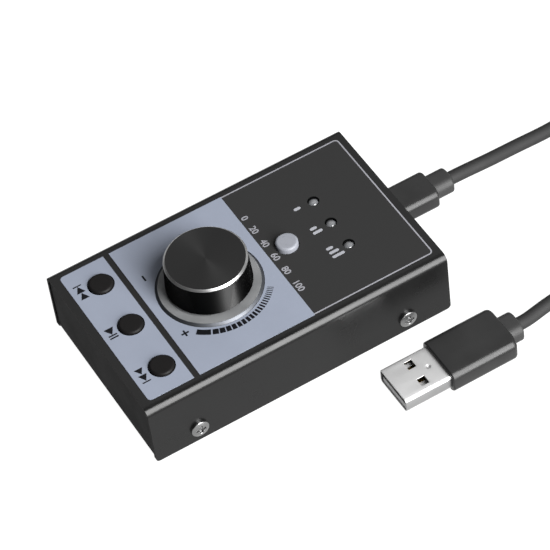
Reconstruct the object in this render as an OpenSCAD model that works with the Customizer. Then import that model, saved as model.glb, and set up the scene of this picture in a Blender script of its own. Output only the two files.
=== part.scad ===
// USB volume control knob: a sheet-metal desk box with a rotary knob, four keys,
// three indicator lights and a plug-in lead. Millimetres, +Z up.
// Origin: on the desk, under the middle of the box. +X runs along the box towards
// the socket end, -Y is the long side that faces the user.

/* [Case] */
// Length of the top cover
case_l = 84.5; // [80:0.5:110]
// Width of the top cover over its long walls
case_w = 52; // [51:0.5:70]
// Height of the case without its feet
case_h = 19.5; // [19:0.5:26]
// Thickness of the sheet metal
sheet_t = 1; // [0.6:0.1:1.2]
// Outer radius of the cover's two long bends
bend_r = 2; // [1.4:0.1:3]
// Rounding of the cover walls' lower corners
skirt_r = 1.1; // [0.3:0.1:3]
// Outer radius of the bends between the tray's floor and its end panels
tray_bend_r = 1.5; // [1.3:0.1:3]
// Gap between the tray and the inside of the cover
slip = 0.15; // [0.05:0.05:0.4]
// How far the end panels stand back from the cover's ends
end_set = 0.25; // [0.1:0.05:0.8]
// Height of the tray's side flanges above its underside
flange_h = 9; // [7:0.5:9.5]
// Distance of the tray's side flanges from the case's ends
flange_end_in = 6.25; // [4.5:0.25:9]

/* [Feet] */
// Diameter of a rubber foot
foot_d = 8; // [5:0.5:12]
// Height of a rubber foot
foot_h = 1; // [0.5:0.1:3]
// Distance of a foot's centre from the case's sides and ends
foot_in = 8.5; // [7:0.5:14]

/* [Side screws] */
// Distance of the side screws from the case's ends
screw_end_in = 12.5; // [11.25:0.25:16]
// Height of the side screws above the cover's lower edge
screw_z = 4.6; // [4:0.1:5.5]
// Thread diameter of the side screws
screw_d = 2.5; // [2:0.1:3]
// Head diameter of the side screws
screw_head_d = 4.8; // [4:0.1:5.6]
// Head height of the side screws
screw_head_h = 1.1; // [0.8:0.1:1.6]
// Thread length of the side screws
screw_l = 4.5; // [3:0.5:6]

/* [Printed film] */
// Distance of the film from the case's left end
print_end_in = 2.25; // [2.1:0.05:3.2]
// Distance of the film from the case's sides
print_side_in = 2.95; // [2.25:0.05:5]
// Corner radius of the film
print_r = 1; // [0.4:0.1:2]
// Thickness of the film
film_t = 0.1; // [0.05:0.05:0.3]
// Where the gap between the two blue fields starts, from the film's left edge
divider_at = 12.4; // [11.5:0.1:12.8]
// Width of the gap between the two blue fields
divider_w = 1.6; // [0.6:0.1:1.6]
// How far the larger blue field reaches past the middle of the case
field_past = 6.2; // [5:0.1:7]

/* [Knob] */
// Distance of the knob's axis from the middle of the case, towards the left end
knob_in = 10.1; // [9.5:0.1:10.4]
// Diameter of the knob at its lower edge
knob_d = 21.9; // [20.5:0.1:22.5]
// How much the knob's side leans in towards its top
knob_taper = 0.5; // [0:0.1:1]
// Height of the knob cap
knob_h = 8.5; // [7.5:0.1:12]
// Height of the knob's lower edge above the panel
knob_lift = 1.6; // [1.5:0.1:2]
// Chamfer round the knob's top edge
knob_chamfer = 0.5; // [0.3:0.1:1.2]
// Wall of the knob cap
knob_wall = 1.6; // [1:0.1:1.8]
// Thickness of the knob cap's top
knob_top = 1.6; // [1:0.1:2]

/* [Bezel ring] */
// Outer diameter of the bezel ring
bezel_d = 27; // [25.5:0.1:28]
// Thickness of the ring's floor under the knob
bezel_floor = 0.4; // [0.3:0.05:0.5]
// Height of the ring's lip
bezel_lip_h = 0.7; // [0.7:0.05:1]
// How far the ring's lip reaches in under the knob's edge
bezel_under = 1.2; // [0.5:0.1:2.5]
// Chamfer on the ring's outer edge
bezel_chamfer = 0.6; // [0.2:0.05:0.65]

/* [Encoder] */
// Side of the encoder's square body
encoder_w = 12; // [11.5:0.1:13]
// Diameter of the threaded bushing
bushing_d = 7; // [6.8:0.1:7.4]
// Height of the bushing above the panel
bushing_h = 3.1; // [2.9:0.1:3.3]
// Thickness of the washer under the nut
washer_t = 0.4; // [0.3:0.1:0.5]
// Diameter of the washer
washer_d = 11; // [10:0.5:12]
// Width of the nut across its flats
nut_af = 10; // [9:0.5:11]
// Height of the nut
nut_h = 1.8; // [1.5:0.1:2]
// Diameter of the shaft
shaft_d = 6; // [5.6:0.1:6.2]
// Thickness of the shaft across its flat
shaft_flat = 4.5; // [4.2:0.1:5]
// How far the knob can be pushed down
push_travel = 0.5; // [0.3:0.05:0.5]
// Radius of the encoder's turning disc
rotor_r = 4.6; // [4.2:0.1:4.8]

/* [Keys] */
// Distance of the black keys from the case's left end
key_end_in = 9.95; // [9.25:0.05:10.25]
// Distance of the outer black keys from the case's sides
key_side_in = 10.55; // [10.4:0.05:12]
// Diameter of a black key
key_d = 6.4; // [5.6:0.1:7]
// Height of a black key above the panel
key_proud = 0.8; // [0.5:0.1:2]
// Distance of the grey key from the middle of the case
mode_at = 12; // [11:0.1:13]
// Diameter of the grey key
mode_d = 5.8; // [5:0.1:6.2]
// Height of the grey key above the panel
mode_proud = 1.5; // [0.8:0.1:2.5]
// Gap round a key in its hole
key_gap = 0.25; // [0.1:0.05:0.4]
// Width of the flange that keeps a key in the case
key_flange = 0.9; // [0.6:0.1:1.2]
// Travel of a key
key_travel = 0.3; // [0.2:0.05:0.4]

/* [Tact switches] */
// Side of a switch's square body
switch_w = 6; // [5.5:0.1:6.4]
// Height of a switch's body above the board
switch_h = 3.5; // [3:0.1:3.5]
// Diameter of a switch's plunger
plunger_d = 3.5; // [3:0.1:3.6]
// Height of a plunger above its switch
plunger_h = 1.5; // [1.3:0.1:1.6]

/* [Lights] */
// Distance of the lights from the middle of the case
led_at = 24.7; // [23:0.1:27]
// Spacing of the lights
led_pitch = 8.5; // [7:0.1:11]
// Diameter of a light's lens
led_d = 2.9; // [2.4:0.1:3.1]
// Gap round a lens in its hole
led_gap = 0.1; // [0.05:0.05:0.3]
// Depth of a lens's top below the panel
led_recess = 0.3; // [0.1:0.1:0.9]
// Height of a light from its flange to its top
led_h = 5.5; // [4.6:0.1:5.6]

/* [Circuit board] */
// Thickness of the board
board_t = 1.6; // [1:0.1:2]
// Depth of the board's upper face below the panel's underside
board_drop = 6.9; // [6.9:0.1:7.3]
// Gap between the board's ends and the end panels
board_end_gap = 0.4; // [0.2:0.1:0.8]
// Gap between the board and the tray's side flanges
board_side_gap = 0.45; // [0.2:0.05:0.8]
// Distance of the board posts from the cover's ends
post_end_in = 5; // [4.8:0.1:6]
// Distance of the board posts from the cover's sides
post_side_in = 5.6; // [5.4:0.1:6]
// Width of a board post across its flats
post_af = 4.5; // [4:0.1:5]
// Thread diameter of the board screws
board_screw_d = 2.5; // [2:0.1:2.6]

/* [Socket] */
// Width of the socket's metal shell
socket_w = 8.9; // [8.8:0.05:9.2]
// Height of the socket's metal shell
socket_h = 3.2; // [3.1:0.05:3.3]
// Length of the socket
socket_l = 7.3; // [6.5:0.1:8.5]
// Thickness of the socket's metal
socket_wall = 0.3; // [0.2:0.05:0.3]
// Gap round the socket in its slot
socket_gap = 0.3; // [0.1:0.05:0.5]

/* [Device plug] */
// Gap between the plug's moulding and the cover's end
c_mold_gap = 0.15; // [0.1:0.05:0.6]
// Width of the plug's moulding
c_mold_w = 9.9; // [9.5:0.1:12.4]
// Height of the plug's moulding
c_mold_h = 6; // [5:0.1:6.5]
// Length of the plug's moulding
c_mold_l = 11.1; // [9:0.1:11.1]
// Width of its strain relief
c_relief_w = 6.7; // [5:0.1:8]
// Height of its strain relief
c_relief_h = 5.3; // [4.5:0.1:5.5]
// Length of its strain relief
c_relief_l = 5.5; // [4:0.1:5.5]

/* [Lead] */
// Diameter of the cord
cord_d = 3.6; // [3:0.1:3.7]

/* [Computer plug] */
// Width of the metal shell
a_shell_w = 12; // [11.5:0.1:12.2]
// Height of the metal shell
a_shell_h = 4.5; // [4.4:0.1:4.6]
// Length of the metal shell
a_shell_l = 13; // [12:0.1:14]
// Thickness of the shell's metal
a_shell_wall = 0.3; // [0.2:0.05:0.4]
// Height of the tongue in the shell
a_tongue_h = 1.9; // [1.8:0.05:2]
// Width of the moulding
a_mold_w = 14.3; // [13:0.1:16]
// Height of the moulding
a_mold_h = 6.8; // [6:0.1:6.8]
// Length of the moulding
a_mold_l = 19; // [16:0.5:22]
// Width of the strain relief
a_relief_w = 7.7; // [6:0.1:8.5]
// Height of the strain relief
a_relief_h = 5.6; // [4.6:0.1:6]
// Length of the strain relief
a_relief_l = 4; // [3:0.5:6]

/* [Hidden] */
$fn = 48;

black_steel = "#39393b";
blue_film = "#a2adbc";
silver = "#9a9896";
anodised_black = "#363636";
bright_steel = "#c4c4c4";
black_plastic = "#2e2a2b";
grey_plastic = "#b0b4bc";
black_rubber = "#3b3b3b";
board_green = "#1f5a3a";
gold = "#c9a24a";
dark_chip = "#1c1c1e";
cream_plastic = "#e8e4da";
brass = "#b79a5a";

// Levels above the desk
case_z = foot_h;
panel_z = case_z + case_h;
under_z = panel_z - sheet_t;
floor_z = case_z + sheet_t;
board_z = under_z - board_drop;
port_z = board_z + socket_h / 2;

// The tray inside the cover
tray_l = case_l - 2 * end_set;
tray_w = case_w - 2 * sheet_t - 2 * slip;
inner_r = bend_r - sheet_t;
flange_l = case_l - 2 * flange_end_in;
screw_x = case_l / 2 - screw_end_in;

// The panel layout
knob_at = [-knob_in, 0, 0];
key_x = key_end_in - case_l / 2;
key_y = case_w / 2 - key_side_in;
key_ys = [key_y, 0, -key_y];
mode_pos = [mode_at, 0];
led_ys = [led_pitch, 0, -led_pitch];
switch_spots = [for (y = key_ys) [key_x, y], mode_pos];
print_l = case_l - 2 * print_end_in;
print_w = case_w - 2 * print_side_in;
film_left = -print_l / 2;
field_left = film_left + divider_at + divider_w;

// Encoder levels, from the board up to the panel
spring_t = 0.2;
frame_t = 1.9;
frame_z = under_z - frame_t;
base_top = frame_z - spring_t;
well_floor = board_z + 0.3;
rotor_floor = board_z + 1.6;
rotor_gap = 0.15;
plunger_top = well_floor + 1.2 + push_travel;
plunger_body = 1;
plunger_r = 1.55;
bushing_top = panel_z + bushing_h;
shaft_r = shaft_d / 2;
shaft_neck_r = 2.2;
well_r = shaft_neck_r + 0.3;
shaft_slip = 0.05;
flange_t = 0.4;
flange_r = shaft_r + 0.5;
flange_top = under_z - 0.9;
knob_top_r = knob_d / 2 - knob_taper;
knob_hollow_r = knob_top_r - knob_wall;
knob_z = panel_z + knob_lift;
knob_top_z = knob_z + knob_h;
knob_cavity_z = knob_top_z - knob_top;
shaft_top = knob_cavity_z - 0.2;
nut_room_z = bushing_top + push_travel + 0.3;
nut_room_r = nut_af / 2 / cos(30) + 1.2;
insert_rise = 0.6;

// Encoder pins
contact_pins = [-2.5, 0, 2.5];
button_pins = [-2.5, 2.5];
pin_out = 1.4;
pin_rise = 1;
pin_end = 1;

// Key and switch levels
switch_top = board_z + switch_h;
cover_plate_t = 0.2;
plunger_z = switch_top + plunger_h;
key_hole_r = key_d / 2 + key_gap;
mode_hole_r = mode_d / 2 + key_gap;
flange_drop = 0.15;
key_flange_t = 0.9;
key_skirt_z = switch_top + cover_plate_t + key_travel + 0.2;
plunger_dip = 0.6;
switch_pin_y = 2.25;

// Light levels
led_r = led_d / 2;
led_top = panel_z - led_recess;
led_z = led_top - led_h;
led_flange_t = 1;
lead_r = 0.25;
lead_pitch = 2.54;
lead_end = 0.8;

// Board
board_l = tray_l - 2 * sheet_t - 2 * board_end_gap;
board_w = tray_w - 2 * sheet_t - 2 * board_side_gap;
post_x = case_l / 2 - post_end_in;
post_y = case_w / 2 - post_side_in;
screw_slip = 0.05;
hole_slip = 0.2;
board_head_d = 4.4;
board_head_h = 1.4;
board_screw_reach = 4;

// Parts on the board, placed from its long edges
chip_w = 7;
chip_t = 1;
chip_x = 13.5;
chip_edge_in = 5.9;
chip_lead = [0.3, 1.1, 0.3];
chip_lead_pitch = 0.9;
crystal_w = [5, 3.2];
crystal_h = 1.3;
crystal_r = 0.5;
crystal_x = 24.5;
crystal_edge_in = 5.4;
chip_part = [1.6, 0.8, 0.6];
chip_part_pitch = 2.6;
row_x = -2;
row_edge_in = 6.4;
column_x = 29;
column_edge_in = 10.9;
can_d = 4;
can_h = 4.2;
can_x = 30;
can_edge_in = 8.4;
diode = [3, 1.7, 1.1];
diode_x = 20;
diode_edge_in = 7.9;

// Socket and device plug
socket_face = tray_l / 2 - 0.2;
socket_back = socket_face - socket_l;
socket_block_l = 1.5;
socket_tongue_l = 4.6;
socket_tongue_w = 6.7;
socket_tongue_t = 0.7;
shell_fit = 0.05;
c_shell_w = socket_w - 2 * socket_wall - 2 * shell_fit;
c_shell_h = socket_h - 2 * socket_wall - 2 * shell_fit;
c_shell_wall = 0.25;
c_shell_x = socket_back + socket_block_l + 0.2;
c_mold_x = case_l / 2 + c_mold_gap;
c_relief_x = c_mold_x + c_mold_l;
c_edge_r = 1.9;
mold_corner_r = 0.8;
relief_edge_r = 2.2;
relief_corner_r = 0.8;

// Computer plug, lying on the desk on its moulding
a_plug_x = 15.6;
a_plug_y = -case_w / 2 - 15.8;
a_axis_z = a_mold_h / 2;
a_mold_x = a_plug_x + a_shell_l;
a_relief_x = a_mold_x + a_mold_l;
a_edge_r = 2.1;
a_corner_r = 1.3;
a_window = [2.2, 2.5];
a_window_at = [6.8, 3];
a_dimple_at = 10.2;
a_dimple_ball = 1.5;
a_dimple_deep = 0.15;
a_contact_t = 0.1;

// Points of the cord's centre line from the device plug to the coil, and from the
// coil to the computer plug
device_points = [
  [59, 0, 14.2], [63, 0, 14.1], [71, 0, 13.7], [80, 0, 13.5], [88, 0.2, 13],
  [95, 1.5, 11.8], [101, 3.8, 9.9], [106.5, 6.5, 7.8], [110.8, 7.7, 6.7], [114.4, 7.7, 6.7]
];
plug_points = [
  [114.4, -47.7, 2.6], [110.8, -47.7, 2.6], [104, -47.1, 2.4], [96, -45.1, 2.1], [88, -42.7, 2],
  [80, -40.8, 2.2], [71, -39.9, 2.7], [63, -40.4, 3.3], [58, -41.2, 3.4], [53.6, -41.8, 3.4],
  [51.6, -41.8, 3.4]
];
cord_sides = 8;

// The coil: two layers, wound inwards in the upper layer and outwards in the lower
coil_x = 118;
coil_y = -20;
coil_outer_r = 27.7;
coil_step = 4.1;
coil_turns_in = 3;
coil_rings = 24;
coil_sides = 6;
coil_lead = 3.6;
tie_w = 5;
tie_t = 0.6;
tie_gap = 0.2;
coil_low_z = cord_d / 2 + tie_gap + tie_t;
tie_side_gap = 0.5;

// ---- shared shapes ----

// Rectangle with round corners, centred
module round_rect(l, w, r) {
  square([l - 2 * r, w], center = true);
  square([l, w - 2 * r], center = true);
  for (x = [-1, 1], y = [-1, 1])
    translate([x * (l / 2 - r), y * (w / 2 - r)])
      circle(r);
}

// Carries a flat shape along X from x0 over a length: its x becomes Y and its y becomes Z
module along_x(x0, len) {
  translate([x0, 0, 0])
    rotate([90, 0, 90])
      linear_extrude(len)
        children();
}

// Moulded plug body or strain relief: a rounded section along X whose far end is rounded
module plug_body(x0, len, w, h, edge, corner) {
  intersection() {
    along_x(x0, len)
      round_rect(w, h, edge);
    translate([x0, 0, -h])
      linear_extrude(2 * h)
        union() {
          translate([0, -w / 2])
            square([len - corner, w]);
          translate([len - corner, -w / 2 + corner])
            square([corner, w - 2 * corner]);
          for (s = [-1, 1])
            translate([len - corner, s * (w / 2 - corner)])
              circle(corner);
        }
  }
}

// D-shaped outline: a circle cut straight at the given thickness
module d_outline(r, across) {
  intersection() {
    circle(r);
    translate([-r, -r])
      square([2 * r, across]);
  }
}

// Pan head with a cross recess, its seat at z = 0 and its top upwards
module pan_head(d, h) {
  rise = h * 0.4;
  cross_w = d * 0.13;
  cross_l = d * 0.56;
  difference() {
    rotate_extrude()
      intersection() {
        translate([0, h - crown_r(d, rise)])
          circle(crown_r(d, rise), $fn = 96);
        square([d / 2, h]);
      }
    for (a = [0, 90])
      rotate([0, 0, a])
        translate([-cross_l / 2, -cross_w / 2, h - 0.6])
          cube([cross_l, cross_w, 1]);
  }
}

// Radius of the arc that falls by rise from the middle of a disc to its edge
function crown_r(d, rise) = (d * d / 4 + rise * rise) / (2 * rise);

// ---- case ----

module cover_profile() {
  tall = case_h + bend_r;
  difference() {
    translate([0, panel_z - tall / 2])
      round_rect(case_w, tall, bend_r);
    translate([0, under_z - tall / 2])
      round_rect(case_w - 2 * sheet_t, tall, inner_r);
    translate([-case_w, case_z - tall])
      square([2 * case_w, tall]);
  }
}

module cover_side_outline() {
  tall = case_h + 2 * skirt_r;
  intersection() {
    translate([0, case_z + tall / 2])
      round_rect(case_l, tall, skirt_r);
    translate([-case_l / 2, case_z])
      square([case_l, case_h]);
  }
}

module panel_hole(at, r) {
  translate([at[0], at[1], under_z - 1])
    cylinder(r = r, h = sheet_t + 2);
}

module side_screw_holes(r, from, to) {
  for (x = [-1, 1], s = [-1, 1])
    translate([x * screw_x, s * from, case_z + screw_z])
      rotate([-90 * s, 0, 0])
        cylinder(r = r, h = to - from);
}

module top_cover() {
  color(black_steel)
    difference() {
      intersection() {
        along_x(-case_l / 2, case_l)
          cover_profile();
        rotate([90, 0, 0])
          linear_extrude(2 * case_w, center = true)
            cover_side_outline();
      }
      for (y = key_ys)
        panel_hole([key_x, y], key_hole_r);
      panel_hole(mode_pos, mode_hole_r);
      for (y = led_ys)
        panel_hole([led_at, y], led_r + led_gap);
      panel_hole(knob_at, bushing_d / 2 + hole_slip);
      side_screw_holes(screw_d / 2 + hole_slip, case_w / 2 - 2 * sheet_t, case_w);
    }
}

module tray_profile() {
  tall = case_h + tray_bend_r;
  difference() {
    translate([0, case_z + tall / 2])
      round_rect(tray_l, tall, tray_bend_r);
    translate([0, floor_z + tall / 2])
      round_rect(tray_l - 2 * sheet_t, tall, tray_bend_r - sheet_t);
    translate([-case_l, under_z - slip])
      square([2 * case_l, tall]);
  }
}

module tray_end_outline() {
  tall = case_h + inner_r;
  top = under_z - slip;
  intersection() {
    translate([0, top - tall / 2])
      round_rect(tray_w, tall, inner_r + slip);
    translate([-tray_w / 2, case_z])
      square([tray_w, top - case_z]);
  }
}

module socket_outline(grow) {
  round_rect(socket_w + 2 * grow, socket_h + 2 * grow, socket_h / 2 + grow - 0.01);
}

module base_tray() {
  color(black_steel)
    difference() {
      union() {
        intersection() {
          rotate([90, 0, 0])
            linear_extrude(tray_w, center = true)
              tray_profile();
          along_x(-case_l, 2 * case_l)
            tray_end_outline();
        }
        for (s = [-1, 1])
          translate([-flange_l / 2, s * (tray_w / 2 - sheet_t / 2) - sheet_t / 2, case_z])
            cube([flange_l, sheet_t, flange_h]);
      }
      side_screw_holes(screw_d / 2 + screw_slip, tray_w / 2 - 2 * sheet_t, case_w);
      translate([0, 0, port_z])
        along_x(case_l / 4, case_l)
          socket_outline(socket_gap);
    }
}

module cover_screws() {
  color(silver)
    for (x = [-1, 1], s = [-1, 1])
      translate([x * screw_x, s * case_w / 2, case_z + screw_z])
        rotate([-90 * s, 0, 0])
          union() {
            pan_head(screw_head_d, screw_head_h);
            translate([0, 0, -screw_l])
              cylinder(d = screw_d, h = screw_l + 0.2);
          }
}

module rubber_feet() {
  color(black_rubber)
    for (x = [-1, 1], y = [-1, 1])
      translate([x * (case_l / 2 - foot_in), y * (case_w / 2 - foot_in), 0])
        cylinder(d1 = foot_d - 0.6, d2 = foot_d, h = foot_h);
}

module film_field(x0, len) {
  round_side = print_r * 3;
  intersection() {
    round_rect(print_l, print_w, print_r);
    translate([x0, -print_w / 2 - round_side])
      square([len, print_w + 2 * round_side]);
  }
}

module panel_film() {
  color(blue_film)
    translate([0, 0, panel_z])
      linear_extrude(film_t)
        difference() {
          union() {
            film_field(film_left, divider_at);
            film_field(field_left, field_past - field_left);
          }
          for (y = key_ys)
            translate([key_x, y])
              circle(key_hole_r);
          translate([knob_at[0], 0])
            circle(d = bezel_d + 0.2);
        }
}

// ---- knob and encoder ----

module bezel_ring() {
  outer = bezel_d / 2;
  inner = knob_d / 2 - bezel_under;
  color(silver)
    translate([knob_at[0], 0, panel_z])
      rotate_extrude($fn = 96)
        polygon([
          [bushing_d / 2 + hole_slip, 0],
          [outer, 0],
          [outer, bezel_lip_h - bezel_chamfer],
          [outer - bezel_chamfer, bezel_lip_h],
          [inner, bezel_lip_h],
          [inner, bezel_floor],
          [bushing_d / 2 + hole_slip, bezel_floor]
        ]);
}

module knob_cap() {
  color(anodised_black)
    translate([knob_at[0], 0, knob_z])
      rotate_extrude($fn = 96)
        polygon([
          [knob_hollow_r, 0],
          [knob_d / 2, 0],
          [knob_top_r, knob_h - knob_chamfer],
          [knob_top_r - knob_chamfer, knob_h],
          [0, knob_h],
          [0, knob_h - knob_top],
          [knob_hollow_r, knob_h - knob_top]
        ]);
}

module knob_insert() {
  fit = 0.02;
  color(black_plastic)
    translate([knob_at[0], 0, 0])
      difference() {
        translate([0, 0, knob_z + insert_rise])
          cylinder(r = knob_hollow_r - fit, h = knob_cavity_z - knob_z - insert_rise);
        translate([0, 0, knob_z])
          cylinder(r = nut_room_r, h = nut_room_z - knob_z);
        translate([0, 0, knob_z])
          linear_extrude(shaft_top + fit - knob_z)
            d_outline(shaft_r + fit, shaft_flat + 2 * fit);
      }
}

module encoder_shaft() {
  color(silver)
    translate([knob_at[0], 0, 0])
      union() {
        translate([0, 0, plunger_top])
          linear_extrude(flange_top - flange_t - plunger_top)
            d_outline(shaft_neck_r, 1.75 * shaft_neck_r);
        translate([0, 0, flange_top - flange_t])
          cylinder(r = flange_r, h = flange_t);
        translate([0, 0, flange_top])
          cylinder(r = shaft_r, h = bushing_top - push_travel - flange_top);
        translate([0, 0, bushing_top - push_travel])
          linear_extrude(shaft_top - bushing_top + push_travel)
            d_outline(shaft_r, shaft_flat);
      }
}

module encoder_washer() {
  color(bright_steel)
    translate([knob_at[0], 0, panel_z + bezel_floor])
      difference() {
        cylinder(d = washer_d, h = washer_t);
        translate([0, 0, -1])
          cylinder(r = bushing_d / 2 + screw_slip, h = washer_t + 2);
      }
}

module encoder_nut() {
  color(bright_steel)
    translate([knob_at[0], 0, panel_z + bezel_floor + washer_t])
      difference() {
        cylinder(d = nut_af / cos(30), h = nut_h, $fn = 6);
        translate([0, 0, -1])
          cylinder(r = bushing_d / 2 + screw_slip, h = nut_h + 2);
      }
}

// Metal frame: a cast plate with the threaded bushing and two side legs
module encoder_frame() {
  leg_t = 0.5;
  leg_w = 4;
  color(silver)
    translate([knob_at[0], 0, 0])
      difference() {
        union() {
          translate([-encoder_w / 2, -encoder_w / 2, frame_z])
            cube([encoder_w, encoder_w, frame_t]);
          translate([0, 0, under_z - 0.1])
            cylinder(d = bushing_d, h = bushing_top - under_z + 0.1);
          for (s = [-1, 1])
            translate([s * (encoder_w / 2 + leg_t / 2) - leg_t / 2, -leg_w / 2, board_z])
              cube([leg_t, leg_w, under_z - 0.2 - board_z]);
        }
        translate([0, 0, frame_z - 1])
          cylinder(r = shaft_r + shaft_slip, h = bushing_top);
        translate([0, 0, frame_z - 1])
          cylinder(r = flange_r + 0.3, h = flange_top + 0.1 - frame_z + 1);
      }
}

module encoder_base() {
  color(black_plastic)
    translate([knob_at[0], 0, 0])
      difference() {
        translate([-encoder_w / 2 + 0.1, -encoder_w / 2 + 0.1, board_z])
          cube([encoder_w - 0.2, encoder_w - 0.2, base_top - board_z]);
        translate([0, 0, rotor_floor])
          cylinder(r = rotor_r + 0.3, h = base_top);
        translate([0, 0, well_floor])
          cylinder(r = well_r, h = base_top);
      }
}

module encoder_rotor() {
  color(cream_plastic)
    translate([knob_at[0], 0, rotor_floor + rotor_gap])
      difference() {
        cylinder(r = rotor_r, h = base_top - rotor_floor - 2 * rotor_gap);
        translate([0, 0, -1])
          linear_extrude(base_top)
            d_outline(shaft_neck_r + shaft_slip, 1.75 * shaft_neck_r + 2 * shaft_slip);
      }
}

module detent_spring() {
  color(brass)
    translate([knob_at[0], 0, base_top])
      difference() {
        cylinder(r = encoder_w / 2 - 0.3, h = spring_t);
        translate([0, 0, -1])
          cylinder(r = flange_r + 0.4, h = 2);
      }
}

module push_plunger() {
  color(cream_plastic)
    translate([knob_at[0], 0, plunger_top - plunger_body])
      cylinder(r = plunger_r, h = plunger_body);
}

// Snap dome under the plunger, a shallow cap on the floor of the well
module push_dome() {
  rise = plunger_top - plunger_body - well_floor;
  span = 2 * (well_r - 0.1);
  ball = crown_r(span, rise);
  skin = 0.12;
  color(bright_steel)
    translate([knob_at[0], 0, well_floor])
      rotate_extrude()
        intersection() {
          difference() {
            translate([0, rise - ball])
              circle(ball, $fn = 96);
            translate([0, rise - ball])
              circle(ball - skin, $fn = 96);
          }
          square([span / 2, rise]);
        }
}

// Three contact pins on one side and two switch pins on the other, each bent down
// through the board
module encoder_pin(x, side) {
  pin_w = 0.8;
  pin_t = 0.4;
  start = encoder_w / 2 - 0.1;
  drop = board_z - board_t - pin_end;
  translate([x - pin_w / 2, side > 0 ? start : -start - pin_out, board_z + pin_rise])
    cube([pin_w, pin_out, pin_t]);
  translate([x - pin_w / 2, side * (start + pin_out - pin_t / 2) - pin_t / 2, drop])
    cube([pin_w, pin_t, board_z + pin_rise + pin_t - drop]);
}

module encoder_pins() {
  color(bright_steel)
    translate([knob_at[0], 0, 0])
      union() {
        for (x = contact_pins)
          encoder_pin(x, -1);
        for (x = button_pins)
          encoder_pin(x, 1);
      }
}

// ---- keys and switches ----

module key(at, d, proud, tone) {
  round_r = 0.35;
  top = panel_z + proud;
  flange_top_z = under_z - flange_drop;
  color(tone)
    translate([at[0], at[1], 0])
      difference() {
        union() {
          translate([0, 0, key_skirt_z])
            cylinder(d = d, h = top - round_r - key_skirt_z);
          translate([0, 0, top - round_r])
            cylinder(d1 = d, d2 = d - 2 * round_r, h = round_r);
          translate([0, 0, flange_top_z - key_flange_t])
            cylinder(r = d / 2 + key_flange, h = key_flange_t);
        }
        translate([0, 0, key_skirt_z - 1])
          cylinder(r = plunger_d / 2 + 0.03, h = plunger_z - key_skirt_z + 1);
      }
}

module switch_plunger(at) {
  color(black_plastic)
    translate([at[0], at[1], switch_top - plunger_dip])
      cylinder(d = plunger_d, h = plunger_z - switch_top + plunger_dip);
}

module previous_key() {
  key(switch_spots[0], key_d, key_proud, black_plastic);
}

module play_key() {
  key(switch_spots[1], key_d, key_proud, black_plastic);
}

module next_key() {
  key(switch_spots[2], key_d, key_proud, black_plastic);
}

module mode_key() {
  key(switch_spots[3], mode_d, mode_proud, grey_plastic);
}

module previous_plunger() {
  switch_plunger(switch_spots[0]);
}

module play_plunger() {
  switch_plunger(switch_spots[1]);
}

module next_plunger() {
  switch_plunger(switch_spots[2]);
}

module mode_plunger() {
  switch_plunger(switch_spots[3]);
}

module switch_bodies() {
  color(dark_chip)
    for (at = switch_spots)
      translate([at[0], at[1], board_z])
        difference() {
          translate([-switch_w / 2, -switch_w / 2, 0])
            cube([switch_w, switch_w, switch_h]);
          translate([0, 0, switch_h - plunger_dip - key_travel - 0.1])
            cylinder(r = plunger_d / 2 + 0.1, h = switch_h);
        }
}

module switch_covers() {
  color(bright_steel)
    for (at = switch_spots)
      translate([at[0], at[1], switch_top])
        difference() {
          translate([-switch_w / 2, -switch_w / 2, 0])
            cube([switch_w, switch_w, cover_plate_t]);
          translate([0, 0, -1])
            cylinder(r = plunger_d / 2 + 0.15, h = 3);
        }
}

module switch_pins() {
  bottom = board_z - board_t - pin_end;
  color(bright_steel)
    for (at = switch_spots, x = [-1, 1], y = [-1, 1])
      translate([at[0] + x * (switch_w / 2 + 0.2) - 0.15, at[1] + y * switch_pin_y - 0.35, bottom])
        cube([0.3, 0.7, board_z + 1.2 - bottom]);
}

// ---- lights ----

module led_lenses() {
  color([0.93, 0.94, 0.96, 0.6])
    for (y = led_ys)
      translate([led_at, y, led_z])
        union() {
          cylinder(r = led_r + 0.4, h = led_flange_t);
          cylinder(r = led_r, h = led_h - led_r);
          translate([0, 0, led_h - led_r])
            sphere(led_r);
        }
}

module led_spacers() {
  color(cream_plastic)
    for (y = led_ys)
      translate([led_at, y, board_z])
        difference() {
          cylinder(r = led_r + 0.4, h = led_z - board_z);
          for (s = [-1, 1])
            translate([0, s * lead_pitch / 2, -1])
              cylinder(r = lead_r + screw_slip, h = board_drop);
        }
}

module led_leads() {
  bottom = board_z - board_t - lead_end;
  color(bright_steel)
    for (y = led_ys, s = [-1, 1])
      translate([led_at, y + s * lead_pitch / 2, bottom])
        cylinder(r = lead_r, h = led_z - bottom);
}

// ---- circuit board ----

module board_holes() {
  for (x = [-1, 1], y = [-1, 1])
    translate([x * post_x, y * post_y])
      circle(d = board_screw_d + 2 * hole_slip);
  for (y = led_ys, s = [-1, 1])
    translate([led_at, y + s * lead_pitch / 2])
      circle(lead_r + 0.1);
  for (at = switch_spots, x = [-1, 1], y = [-1, 1])
    translate([at[0] + x * (switch_w / 2 + 0.2), at[1] + y * switch_pin_y])
      circle(0.5);
  for (x = contact_pins)
    translate([knob_at[0] + x, -encoder_w / 2 + 0.3 - pin_out])
      circle(0.6);
  for (x = button_pins)
    translate([knob_at[0] + x, encoder_w / 2 - 0.3 + pin_out])
      circle(0.6);
}

module circuit_board() {
  color(board_green)
    translate([0, 0, board_z - board_t])
      linear_extrude(board_t)
        difference() {
          square([board_l, board_w], center = true);
          board_holes();
        }
}

module board_posts() {
  post_h = board_z - board_t - floor_z;
  color(brass)
    for (x = [-1, 1], y = [-1, 1])
      translate([x * post_x, y * post_y, floor_z])
        difference() {
          cylinder(d = post_af / cos(30), h = post_h, $fn = 6);
          translate([0, 0, 1.5])
            cylinder(r = board_screw_d / 2 + screw_slip, h = post_h);
        }
}

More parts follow.
